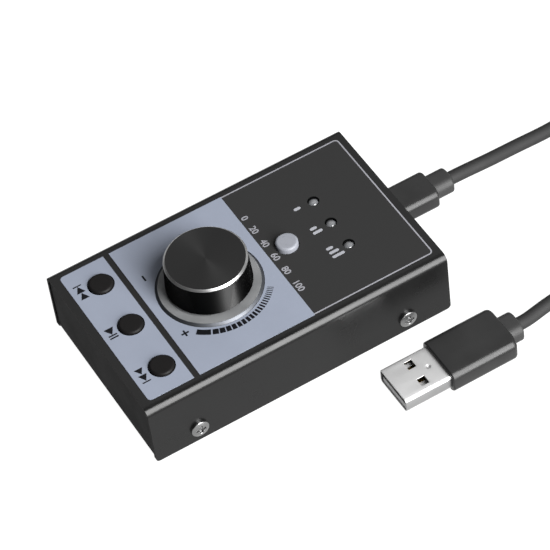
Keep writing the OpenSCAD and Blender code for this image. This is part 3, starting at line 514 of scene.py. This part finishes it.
class KnobSizes(bpy.types.PropertyGroup):
    """Sizes of the pieces that the scene makes"""

    knob_chamfer: bpy.props.FloatProperty(
        name="Knob chamfer", description="Bright chamfer round the knob's top",
        default=0.5 * MM, unit="LENGTH")
    knob_taper: bpy.props.FloatProperty(
        name="Knob taper", description="How far the knob's side leans in",
        default=0.5 * MM, unit="LENGTH")
    key_radius: bpy.props.FloatProperty(
        name="Key radius", description="Radius of a black key's cap",
        default=3.2 * MM, unit="LENGTH")
    mode_radius: bpy.props.FloatProperty(
        name="Grey key radius", description="Radius of the grey key's cap",
        default=2.9 * MM, unit="LENGTH")
    cord_diameter: bpy.props.FloatProperty(
        name="Cord diameter", description="Diameter of the lead's jacket",
        default=3.6 * MM, unit="LENGTH")
    ink: bpy.props.FloatProperty(
        name="Ink height", description="Height of a printed mark",
        default=0.025 * MM, unit="LENGTH")


class KnobColours(bpy.types.PropertyGroup):
    """Colours of the main finishes"""

    coat: bpy.props.FloatVectorProperty(
        name="Case", description="Powder coat of the case", subtype="COLOR",
        default=linear("#050505")[:3])
    film: bpy.props.FloatVectorProperty(
        name="Film", description="Printed film on the panel", subtype="COLOR",
        default=linear("#676c77")[:3])
    knob: bpy.props.FloatVectorProperty(
        name="Knob", description="Turned top of the knob", subtype="COLOR",
        default=linear("#141414")[:3])
    grey_key: bpy.props.FloatVectorProperty(
        name="Grey key", description="Moulding of the grey key", subtype="COLOR",
        default=linear("#65676d")[:3])
    cord: bpy.props.FloatVectorProperty(
        name="Cord", description="Jacket of the lead", subtype="COLOR",
        default=linear("#121212")[:3])


# ---- pieces ----

def softbox(name, azimuth, elevation, distance, width, height, radiance):
    """Area light that faces the object from a direction in degrees. Its power is its
    radiance times its area times pi."""
    light = bpy.data.lights.new(name, "AREA")
    light.shape = "RECTANGLE"
    light.size, light.size_y = width, height
    light.energy = radiance * width * height * math.pi
    lamp = bpy.data.objects.new(name, light)
    a, e = math.radians(azimuth), math.radians(elevation)
    way = Vector((math.cos(e) * math.cos(a), math.cos(e) * math.sin(a), math.sin(e)))
    lamp.location = way * distance
    lamp.rotation_euler = way.to_track_quat("Z", "Y").to_euler()
    bpy.context.scene.collection.objects.link(lamp)


# The camera, fitted to the box's edges: millimetres, and then metres and degrees
SENSOR, FOCAL_LENGTH = 36, 200.51
CAMERA_PLACE = (-0.19315, -0.44753, 0.59459)
CAMERA_TURN = (39.787, 5.3527, -30.5506)
# Room round the object, in metres: how far the camera sees, and half the floor's side
SIGHT, FLOOR_HALF = 20, 2.5
# Name, azimuth and elevation in degrees, distance, width and height in metres, radiance
SOFTBOXES = (
    ("softbox_front", -72, 31, 1.2, 0.62, 1.5, 28),
    ("softbox_back", 56, 52, 1.4, 1.5, 1.4, 1.1),
    ("softbox_right", 6, 14, 1.4, 0.7, 0.5, 1.6))
ROOM_LIGHT = 0.06


class KNOB_OT_stage(bpy.types.Operator):
    """Sets up the camera, the floor and the studio lights"""

    bl_idname = "knob.stage"
    bl_label = "Stage"

    def execute(self, context):
        scene = context.scene
        lens = bpy.data.cameras.new("camera")
        lens.sensor_width = SENSOR
        lens.lens = FOCAL_LENGTH
        lens.clip_end = SIGHT
        camera = bpy.data.objects.new("camera", lens)
        camera.location = CAMERA_PLACE
        camera.rotation_euler = Euler([math.radians(d) for d in CAMERA_TURN])
        scene.collection.objects.link(camera)
        scene.camera = camera
        scene.view_settings.view_transform = "Standard"

        half = FLOOR_HALF
        flat = [(-half, -half, 0), (half, -half, 0), (half, half, 0), (-half, half, 0)]
        mesh = bpy.data.meshes.new("floor")
        mesh.from_pydata(flat, [], [(0, 1, 2, 3)])
        mesh.materials.append(finish("studio_paper"))
        floor = bpy.data.objects.new("floor", mesh)
        scene.collection.objects.link(floor)

        world = bpy.data.worlds.new("studio")
        world.use_nodes = True
        back = world.node_tree.nodes["Background"]
        back.inputs["Color"].default_value = (1, 1, 1, 1)
        back.inputs["Strength"].default_value = ROOM_LIGHT
        scene.world = world
        for box in SOFTBOXES:
            softbox(*box)
        return {"FINISHED"}


# The cord's route, in metres: from the device plug to the coil, and from the coil to the
# computer plug
ROUTE_DEVICE = [
    (0.059, 0, 0.0142), (0.063, 0, 0.0141), (0.071, 0, 0.0137), (0.080, 0, 0.0135),
    (0.088, 0.0002, 0.013), (0.095, 0.0015, 0.0118), (0.101, 0.0038, 0.0099),
    (0.1065, 0.0065, 0.0078), (0.1108, 0.0077, 0.0067), (0.1144, 0.0077, 0.0067)]
ROUTE_PLUG = [
    (0.1144, -0.0477, 0.0026), (0.1108, -0.0477, 0.0026), (0.104, -0.0471, 0.0024),
    (0.096, -0.0451, 0.0021), (0.088, -0.0427, 0.0020), (0.080, -0.0408, 0.0022),
    (0.071, -0.0399, 0.0027), (0.063, -0.0404, 0.0033), (0.058, -0.0412, 0.0034),
    (0.0536, -0.0418, 0.0034), (0.0516, -0.0418, 0.0034)]
# The coil, in metres and turns: it spirals in, and then out again a layer lower
COIL_CENTRE = (0.118, -0.020)
COIL_RADIUS = 0.0277
COIL_STEP = 0.0041
COIL_LOW_Z = 0.0026
COIL_TURNS_IN = 3
COIL_REVERSAL = 0.5
COIL_TOTAL = 2 * COIL_TURNS_IN + COIL_REVERSAL
COIL_POINTS_PER_TURN = 24
CORD_SPACING = 1.4 * MM


def coil_points():
    """Coil centre line: radius = outer - step * min(t, total - t) after t turns, clockwise
    from +Y, and a layer's drop, (1 - cos) / 2, in the half turn where the spiral reverses."""
    t = np.arange(int(COIL_TOTAL * COIL_POINTS_PER_TURN) + 1) / COIL_POINTS_PER_TURN
    radius = COIL_RADIUS - COIL_STEP * np.minimum(t, COIL_TOTAL - t)
    a = TURN * (0.25 - t)
    drop = (1 - np.cos(np.pi * np.clip((t - COIL_TURNS_IN) / COIL_REVERSAL, 0, 1))) / 2
    return np.stack([COIL_CENTRE[0] + radius * np.cos(a), COIL_CENTRE[1] + radius * np.sin(a),
                     COIL_LOW_Z + COIL_STEP * (1 - drop)], -1)


def strap_loop(low, high, thickness, corner):
    """Strap round the coil: a rounded rectangle in XZ, and at each of its points the strap's
    own section, across the strap's thickness and along Y. Lengths in metres."""
    size, middle = high - low, (low + high) / 2
    outer = round_rect(size[0], size[2], corner, 6)[0]
    inner = round_rect(size[0] - 2 * thickness, size[2] - 2 * thickness, corner - thickness, 6)[0]
    half = size[1] / 2
    corners = [(outer, -half), (outer, half), (inner, half), (inner, -half)]
    grid = np.stack([np.column_stack([q[:, 0], np.full(len(q), y), q[:, 1]])
                     for q, y in corners], 1)
    return skin(grid + middle, wrap_rows=True)


class KNOB_OT_cord(bpy.types.Operator):
    """Makes the lead, its stored coil and the strap round the coil"""

    bl_idname = "knob.cord"
    bl_label = "Cord"

    def execute(self, context):
        thick = context.scene.knob_sizes.cord_diameter
        path = smooth_path(np.concatenate([ROUTE_DEVICE, coil_points(), ROUTE_PLUG]),
                           CORD_SPACING)
        cord = make_piece("cord", [tube(path, thick / 2, 16)], [finish("pvc_jacket")], "root",
                          ["cord_at_device", "cord_coil", "cord_at_plug"],
                          crease=60)
        low, high = box_of("coil_tie")
        # The strap's loose end lies on top of its loop, with its corners cut
        strap, lap, overlap = 0.6 * MM, 0.5 * MM, 0.05 * MM
        end, square, half, cut = 9, 7, 2.1, 0.6
        outline = [(-end, -half), (square, -half), (square + cut, cut - half),
                   (square + cut, half - cut), (square, half), (-end, half)]
        skins = [strap_loop(low, high - (0, 0, lap), strap, 2.2 * MM),
                 slab(outline + (low + high)[:2] / 2 / MM, high[2] - lap - overlap, high[2])]
        tie = make_piece("coil_strap", skins, [finish("strap_nylon")], "root", ["coil_tie"])
        return {"FINISHED"}


def pan_screw(x, side, z):
    """Pan-head screw in a long wall. Crown: w = h - R + sqrt(R^2 - r^2), less a cross recess
    whose arms are smooth steps across their width and length. Points (u, v) run round the
    screw's axis and w stands out of the wall. Millimetres until the last line."""
    head, height, rise, shank, depth, under = 2.4, 1.1, 0.44, 1.25, 4.5, 0.01
    rim, rim_start, rim_steps, crown_steps, sides = 0.12, 0.3, 4, 36, 96
    # The recess: an arm's reach and half width, its slopes at the end and the sides, and its
    # depth at the middle and the share of it that is lost on the way out
    reach, half, end_slope, side_slope, deep, fade = 1.35, 0.45, 0.2, 0.14, 0.72, 0.3
    ball = (head**2 + rise**2) / (2 * rise)
    turn = np.linspace(rim_start, TURN / 4, rim_steps)
    r = np.concatenate([np.linspace(0, head - rim, crown_steps), head - rim * (1 - np.sin(turn))])
    w = height - ball + np.sqrt(ball**2 - r**2)
    w[-rim_steps:] -= rim * (1 - np.cos(turn))
    crown = len(r)
    r = np.concatenate([r, [head, shank, shank, 0]])
    w = np.concatenate([w, [under, under, -depth, -depth]])
    a = np.arange(sides) * TURN / sides
    u, v = np.outer(r, np.cos(a)), np.outer(r, np.sin(a))

    def arm(along, across):
        t = np.clip((reach - np.abs(along)) / end_slope, 0, 1)
        t = t * np.clip((half - np.abs(across)) / side_slope, 0, 1)
        return t * t * (3 - 2 * t) * (1 - fade * np.abs(along) / reach)

    recess = deep * np.maximum(arm(u, v), arm(v, u))
    recess[crown:] = 0
    wall = box_of("top_cover")[1][1] / MM
    grid = np.stack([x + u, side * (wall + (w[:, None] - recess)), z + v], -1)
    return skin(grid * MM)


# Middles of the side screws and of the feet, either side of the box's middle, in millimetres
SCREW_X, SCREW_Z = 29.75, 5.6
FOOT_X, FOOT_Y = 33.75, 17.5


class KNOB_OT_case(bpy.types.Operator):
    """Coats the cover and the tray, and makes the side screws and the feet"""

    bl_idname = "knob.case"
    bl_label = "Case"

    def execute(self, context):
        dress(finish("powder_coat_black"), "top_cover")
        dress(finish("powder_coat_tray"), "base_tray")
        cover = NODES["top_cover"].data
        cover.materials.append(finish("powder_coat_dry"))
        cover.materials.append(finish("powder_coat_panel"))
        # The cover's faces take copies of the coat by the way they face, as painted light: the
        # cut ends and the flat top are coloured apart from the walls and bends
        facing = np.empty(len(cover.polygons) * 3)
        cover.polygons.foreach_get("normal", facing)
        facing = facing.reshape(-1, 3)
        mostly, wholly = 0.9, 0.999
        cut_ends, flat_top = np.abs(facing[:, 0]) > mostly, facing[:, 2] > wholly
        cover.polygons.foreach_set("material_index", cut_ends + 2 * flat_top)
        screws = [pan_screw(x, side, SCREW_Z) for x in (-SCREW_X, SCREW_X) for side in (-1, 1)]
        make_piece("side_screws", screws, [finish("screw_nickel")], "root", ["cover_screws"])
        sole, waist, tall, edge = 3.7, 4, 1, 0.3
        side = rounded([(0, 0), (sole, 0), (waist, tall), (0, tall)], [edge, 0])
        feet = [lathe(side, (x * MM, y * MM, 0), 48)
                for x in (-FOOT_X, FOOT_X) for y in (-FOOT_Y, FOOT_Y)]
        make_piece("feet", feet, [finish("foot_rubber")], "root", ["rubber_feet"])
        return {"FINISHED"}


def bar(x, y, w, h, low, high, r=0.05):
    """Printed bar, w by h millimetres with rounded corners, about (x, y)."""
    return slab(round_rect(w, h, r, 3)[0] + (x, y), low, high)


def arc_mark(centre, inner, outer, start, end, low, high):
    """Printed piece of a ring between two radii and two angles in degrees."""
    a = np.radians(np.linspace(start, end, 6))
    ring = np.stack([np.cos(a), np.sin(a)], -1)
    return slab(np.concatenate([inner * ring, outer * ring[::-1]]) + centre, low, high)


def number_skins(words, x, y, size, low, high):
    """Numbers from Blender's own font, turned to read towards -Y with their tops towards
    +X, made a mesh first and then moved to their place."""
    text = bpy.data.curves.new("numbers", "FONT")
    text.body = words
    text.size = size * MM
    text.align_x, text.align_y = "CENTER", "CENTER"
    text.extrude = (high - low) / 2
    text.offset = 0.05 * MM
    holder = bpy.data.objects.new("numbers", text)
    bpy.context.scene.collection.objects.link(holder)
    bpy.context.view_layer.update()
    graph = bpy.context.evaluated_depsgraph_get()
    mesh = bpy.data.meshes.new_from_object(holder.evaluated_get(graph))
    bpy.data.objects.remove(holder)
    mesh.transform(Matrix((
        (0, 1, 0, x * MM), (-1, 0, 0, y * MM), (0, 0, 1, (low + high) / 2), (0, 0, 0, 1))))
    co = np.empty(len(mesh.vertices) * 3)
    mesh.vertices.foreach_get("co", co)
    faces = [list(face.vertices) for face in mesh.polygons]
    bpy.data.meshes.remove(mesh)
    return co.reshape(-1, 3), faces, [0] * len(faces)


# The printed marks, in millimetres. The key signs stand in one column: bars as the height in
# Y and the thickness, and triangles as the heights of base and tip and half the base
SIGN_X, SIGN_WIDTH = -37.55, 2.3
SIGN_BARS = ((18.2, 0.35), (-0.45, 0.42), (-1.25, 0.42), (-17.6, 0.35))
SIGN_TRIANGLES = (
    (15.8, 18.0, 1.15), (13.6, 15.75, 1.15), (2.0, -0.2, 1.3), (-13.1, -15.0, 1.15),
    (-15.25, -17.3, 1.15))
MINUS_PLACE, MINUS_SIZE, PLUS_PLACE = (-22.6, 10.9), (0.5, 1.9), (-22.7, -10.0)
NUMBERS_PLACE, NUMBERS_SIZE = (7.6, -0.3), 2.5
# Bars beside the lights, as the height in Y and the right end
LIGHT_BARS_LEFT = 19.1
LIGHT_BARS = (
    (8.6, 21.0), (0.75, 21.0), (-0.75, 21.8), (-7.05, 21.0), (-8.55, 21.8), (-10.05, 22.6))
# The dial's scale between two radii, with its angles in degrees: one long mark, and then
# marks whose pitch shrinks, and whose share of the pitch shrinks as well
SCALE_INNER, SCALE_OUTER = 14.3, 15.9
SCALE_LONG_MARK = (-132, -118.5)
SCALE_START, SCALE_SWEEP, SCALE_MARKS = -117, 80, 21
SCALE_PITCHES, SCALE_SHARES = (7.2, 2.1), (0.8, 0.3)


class KNOB_OT_print(bpy.types.Operator):
    """Dresses the film and prints the line, the key signs, the dial's scale and the bars"""

    bl_idname = "knob.print_marks"
    bl_label = "Printed marks"

    def execute(self, context):
        ink = context.scene.knob_sizes.ink
        dress(finish("printed_film"), "panel_film")
        low, high = PANEL_Z, PANEL_Z + ink
        corner, line_width = 1, 0.36
        line = rounded([(LINE_LEFT, LINE_FAR), (LINE_RIGHT, LINE_FAR),
                        (LINE_RIGHT, LINE_NEAR), (LINE_LEFT, LINE_NEAR)], [corner, corner], 6)
        numbers = number_skins("0    20    40    60    80    100", *NUMBERS_PLACE, NUMBERS_SIZE,
                               low, high)
        make_piece("print_line", [ribbon(line, line_width, low, high), numbers],
                   [finish("ink_pale")], "root")

        left, thickness, corner = LIGHT_BARS_LEFT, 0.85, 0.4
        skins = [bar((left + end) / 2, y, end - left, thickness, low, high, corner)
                 for y, end in LIGHT_BARS]
        make_piece("print_bars", skins, [finish("ink_blue_grey")], "root")

        low, high = FILM_Z, FILM_Z + ink
        skins = [bar(SIGN_X, y, SIGN_WIDTH, thickness, low, high) for y, thickness in SIGN_BARS]
        skins += [slab([(SIGN_X - half, base), (SIGN_X + half, base), (SIGN_X, tip)], low, high)
                  for base, tip, half in SIGN_TRIANGLES]
        arm, half = 1, 0.23
        corner = np.array([(arm, half), (half, half), (half, arm)])
        turned = corner[:, ::-1] * (-1, 1)
        plus = np.concatenate([corner, turned, -corner, -turned])
        skins += [bar(*MINUS_PLACE, *MINUS_SIZE, low, high),
                  slab(plus + PLUS_PLACE, low, high)]
        pitch = np.geomspace(*SCALE_PITCHES, SCALE_MARKS)
        start = SCALE_START + (np.cumsum(pitch) - pitch) * SCALE_SWEEP / pitch.sum()
        width = pitch * np.linspace(*SCALE_SHARES, SCALE_MARKS)
        middle = KNOB_AXIS[:2] / MM
        skins += [arc_mark(middle, SCALE_INNER, SCALE_OUTER, a, b, low, high)
                  for a, b in (SCALE_LONG_MARK, *zip(start, start + width))]
        make_piece("print_signs", skins, [finish("ink_navy")], "root")
        return {"FINISHED"}


class KNOB_OT_knob(bpy.types.Operator):
    """Turns the knob's cap and its bezel ring"""

    bl_idname = "knob.knob"
    bl_label = "Knob and ring"

    def execute(self, context):
        sizes = context.scene.knob_sizes
        sides, wall, land, rings_from = 160, 1.6, 0.03, 0.5
        cut = sizes.knob_chamfer / MM
        foot = (KNOB_HIGH[0] - KNOB_LOW[0]) / 2 / MM
        r = foot - sizes.knob_taper / MM
        z0, z1 = KNOB_LOW[2] / MM, KNOB_HIGH[2] / MM
        side_top, flat = (r, z1 - cut - land), r - cut - land
        inside = [(0, z1 - wall), (r - wall, z1 - wall), (r - wall, z0), (foot, z0), side_top]
        edge = [side_top, (r, z1 - cut), (r - cut, z1), (flat, z1)]
        rings = np.linspace(rings_from, r - cut - rings_from, 10)
        top = [(flat, z1), *[(flat - k, z1) for k in rings], (0, z1)]
        skins = [
            lathe(rounded(inside, [0, 0.15, 0.15]), KNOB_AXIS, sides),
            lathe(rounded(edge, [0.02, 0.02], 2), KNOB_AXIS, sides, look=1),
            lathe(top, KNOB_AXIS, sides, look=2)]
        worn = [finish(name) for name in ("anodised_polished", "cut_edge", "anodised_turned")]
        make_piece("volume_knob", skins, worn, "knob", ["knob_cap"])

        low, high = box_of("bezel_ring")
        r, z0, z1 = (high[0] - low[0]) / 2 / MM, low[2] / MM, high[2] / MM
        bevel, beyond, floor, lip, hole = 0.6, 0.62, z0 + 0.4, foot - 1.2, 3.7
        edge = [(r, z1 - beyond), (r, z1 - bevel), (r - bevel, z1), (r - beyond, z1)]
        rest = [edge[-1], (lip, z1), (lip, floor), (hole, floor), (hole, z0), (r, z0), edge[0]]
        skins = [lathe(rounded(edge, [0.03, 0.08], 3), KNOB_AXIS, sides, look=1),
                 lathe(rounded(rest, [0.05, *[0.03] * 4]), KNOB_AXIS, sides)]
        make_piece("ring", skins, [finish("satin_nickel"), finish("nickel_edge")], "root",
                   ["bezel_ring"])
        return {"FINISHED"}


class KNOB_OT_keys(bpy.types.Operator):
    """Moulds the three black keys and the grey key"""

    bl_idname = "knob.keys"
    bl_label = "Keys"

    def execute(self, context):
        sizes = context.scene.knob_sizes
        # The plunger's pocket in the key's foot, the flange under the panel, and the cap's
        # rounded edge, in millimetres
        pocket, pocket_top, flange_low, flange_high, edge = 1.78, 0.8, 18.45, 19.35, 0.65
        black = sizes.key_radius, "abs_black", "black_abs"
        grey = sizes.mode_radius, "abs_grey", "grey_abs"
        for name, (radius, worn, slot) in (
                ("previous", black), ("play", black), ("next", black), ("mode", grey)):
            low, high = box_of(name + "_key")
            r, z0, z1 = radius / MM, low[2] / MM, high[2] / MM
            wide = (high[0] - low[0]) / 2 / MM
            crown = [(r, z1 - 0.02), (r * 0.7, z1 - 0.01), (r * 0.4, z1), (0, z1)]
            outline = [(0, z0 + pocket_top), (pocket, z0 + pocket_top), (pocket, z0), (r, z0),
                       (r, flange_low), (wide, flange_low), (wide, flange_high),
                       (r, flange_high), *crown]
            profile = rounded(outline, [0, 0, 0, 0, 0.1, 0.1, 0, edge, 0, 0], 7)
            key = lathe(profile, (low + high) / 2 * (1, 1, 0), 72)
            make_piece(name + "_button", [key], [finish(worn)], name + "_button",
                       [name + "_key"])
        return {"FINISHED"}


class KNOB_OT_lights(bpy.types.Operator):
    """Casts the three indicator lenses"""

    bl_idname = "knob.lights"
    bl_label = "Lights"

    def execute(self, context):
        low, high = box_of("led_lenses")
        z0 = low[2] / MM
        x = (low[0] + high[0]) / 2
        r, rim, rim_height, rise, below_panel = 1.45, 1.85, 1, 1.1, 0.05
        top = PANEL_Z / MM - below_panel
        a = np.linspace(0, TURN / 4, 12)
        dome = np.stack([r * np.cos(a), top - rise + rise * np.sin(a)], -1)
        brim = [(0, z0), (rim, z0), (rim, z0 + rim_height), (r, z0 + rim_height)]
        profile = np.concatenate([brim, dome])
        profile[-1, 0] = 0
        y = high[1] - rim * MM
        lenses = [lathe(profile, (x, k * y, 0), 40) for k in (-1, 0, 1)]
        make_piece("lenses", lenses, [finish("lens_epoxy")], "root", ["led_lenses"])
        return {"FINISHED"}


class KNOB_OT_inside(bpy.types.Operator):
    """Dresses the encoder, the switches, the board and the socket"""

    bl_idname = "knob.inside"
    bl_label = "Inside"

    def execute(self, context):
        dress(finish("nylon_cream"), "encoder_rotor", "push_plunger", "led_spacers")
        dress(finish("chip_epoxy"), "encoder_base", "previous_plunger", "play_plunger",
              "next_plunger", "mode_plunger", "switch_bodies", "controller_chip",
              "socket_tongue", "knob_insert")
        dress(finish("nickel_plate"), "encoder_frame", "encoder_nut", "encoder_washer",
              "encoder_shaft", "switch_covers", "socket_shell", "c_plug_shell", "crystal")
        dress(finish("tinned_brass"), "encoder_pins", "switch_pins", "led_leads",
              "board_screws", "push_dome")
        dress(finish("brass_plain"), "board_posts", "detent_spring")
        dress(finish("solder_mask"), "circuit_board")
        dress(finish("ceramic"), "small_parts")
        dress(finish("nylon_pale"), "a_plug_tongue")
        dress(finish("gold_flash"), "a_plug_contacts")
        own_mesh(NODES["push_dome"])
        return {"FINISHED"}


def plug_pieces(name, body, relief, nodes):
    """Plug's overmould and strain relief as one piece. Each is given by the numbers that a
    moulding takes from x0 to soft, and lies on the middle line of the first node's box."""
    low, high = box_of(nodes[0])
    y, z = (low + high)[1:] / 2 / MM
    make_piece(name, [moulding(*body, y, z), moulding(*relief, y, z, look=1)],
               [finish("pvc_moulding"), finish("pvc_relief")], "root", nodes,
               crease=50)


class KNOB_OT_device_plug(bpy.types.Operator):
    """Moulds the plug at the device"""

    bl_idname = "knob.device_plug"
    bl_label = "Device plug"

    def execute(self, context):
        plug_pieces("device_plug_moulding", (42.4, 11.1, 9.9, 6, 1.9, 0.8, 0.3),
                    (52.5, 6.5, 6.7, 5.3, 2.2, 0.8, 0.5), ["c_plug_mold", "c_plug_relief"])
        return {"FINISHED"}


def computer_shell():
    """Folded plug shell in millimetres: a rounded rectangle carried along X, less the quads
    of its windows, and with a round dimple in its top whose depth is
    depth * (1 + cos(pi d / r)) / 2 at d from its middle."""
    low, high = (v / MM for v in box_of("a_plug_shell"))
    x0, half, tall = low[0], (high[1] - low[1]) / 2, (high[2] - low[2]) / 2
    y, z = (low[1] + high[1]) / 2, (low[2] + high[2]) / 2
    corner, dent, deep, at, mouth, hair = 0.8, 0.85, 0.3, 10.2, 0.15, 0.01
    window_x, window_y = (5.7, 7.9), (1.75, 4.25)
    across = np.linspace(-dent, dent, 13)
    x = np.unique(np.concatenate([[0, mouth, *window_x, high[0] - x0], at + across]))
    stops = np.array([half - corner, window_y[1], window_y[0], *across[::-1],
                      -window_y[0], -window_y[1], corner - half])
    a = np.linspace(0, TURN / 4, 6)[1:-1]
    bend = np.stack([half - corner + corner * np.sin(a), tall - corner + corner * np.cos(a)], -1)
    top = np.stack([stops, np.full(len(stops), tall)], -1)
    right = np.concatenate([
        top, bend * (-1, 1), [(-half, tall - corner), (-half, corner - tall)],
        bend[::-1] * (-1, -1)])
    loop = np.concatenate([right, -right])
    grid = np.empty((len(x), len(loop), 3))
    grid[..., 0], grid[..., 1], grid[..., 2] = x[:, None], loop[:, 0], loop[:, 1]
    d = np.hypot(grid[..., 0] - at, grid[..., 1])
    press = deep * (1 + np.cos(np.pi * np.clip(d / dent, 0, 1))) / 2
    grid[..., 2] -= np.where(grid[..., 2] > tall - hair, press, 0)
    points, faces, _ = skin(grid)
    middle = points[np.array(faces)].mean(1)
    gone = (middle[:, 0] > window_x[0]) & (middle[:, 0] < window_x[1])
    gone &= (np.abs(middle[:, 1]) > window_y[0]) & (np.abs(middle[:, 1]) < window_y[1])
    gone &= np.abs(middle[:, 2]) > tall - hair
    faces = [face for face, out in zip(faces, gone) if not out]
    # The shell's sides take the darker nickel: painted shade
    looks = (np.abs(middle[~gone, 1]) > half - hair).astype(int).tolist()
    return (points + (x0, y, z)) * MM, faces, looks


class KNOB_OT_computer_plug(bpy.types.Operator):
    """Folds the computer plug's shell and moulds its body"""

    bl_idname = "knob.computer_plug"
    bl_label = "Computer plug"

    def execute(self, context):
        shell = make_piece(
            "computer_plug_shell", [computer_shell()],
            [finish("nickel_plate"), finish("nickel_side")], "root", ["a_plug_shell"])
        wall = shell.modifiers.new("wall", "SOLIDIFY")
        wall.thickness = 0.3 * MM
        wall.offset = -1
        edge = shell.modifiers.new("edge", "BEVEL")
        edge.width = 0.05 * MM
        edge.segments = 2
        edge.angle_limit = math.radians(50)
        plug_pieces("computer_plug_moulding", (28.6, 19, 14.3, 6.8, 2.1, 1.3, 0.45),
                    (46.6, 5, 7.7, 5.6, 2.2, 0.8, 0.5), ["a_plug_mold", "a_plug_relief"])
        return {"FINISHED"}


OPERATORS = (
    KNOB_OT_stage, KNOB_OT_case, KNOB_OT_print, KNOB_OT_knob, KNOB_OT_keys, KNOB_OT_lights,
    KNOB_OT_inside, KNOB_OT_device_plug, KNOB_OT_computer_plug, KNOB_OT_cord)


class KNOB_PT_panel(bpy.types.Panel):
    """Lists the makers of the knob's pieces"""

    bl_idname = "KNOB_PT_panel"
    bl_label = "Volume knob"
    bl_space_type = "VIEW_3D"
    bl_region_type = "UI"
    bl_category = "Volume knob"

    def draw(self, context):
        for settings in (context.scene.knob_sizes, context.scene.knob_colours):
            for key in settings.__annotations__:
                self.layout.prop(settings, key)
        for operator in OPERATORS:
            self.layout.operator(operator.bl_idname)


CLASSES = (KnobSizes, KnobColours, *OPERATORS, KNOB_PT_panel)


def register():
    for made in CLASSES:
        bpy.utils.register_class(made)
    bpy.types.Scene.knob_sizes = bpy.props.PointerProperty(type=KnobSizes)
    bpy.types.Scene.knob_colours = bpy.props.PointerProperty(type=KnobColours)


def unregister():
    del bpy.types.Scene.knob_colours
    del bpy.types.Scene.knob_sizes
    for made in reversed(CLASSES):
        bpy.utils.unregister_class(made)


def main():
    register()
    for operator in OPERATORS:
        group, name = operator.bl_idname.split(".")
        getattr(getattr(bpy.ops, group), name)()


if __name__ == "__main__":
    main()
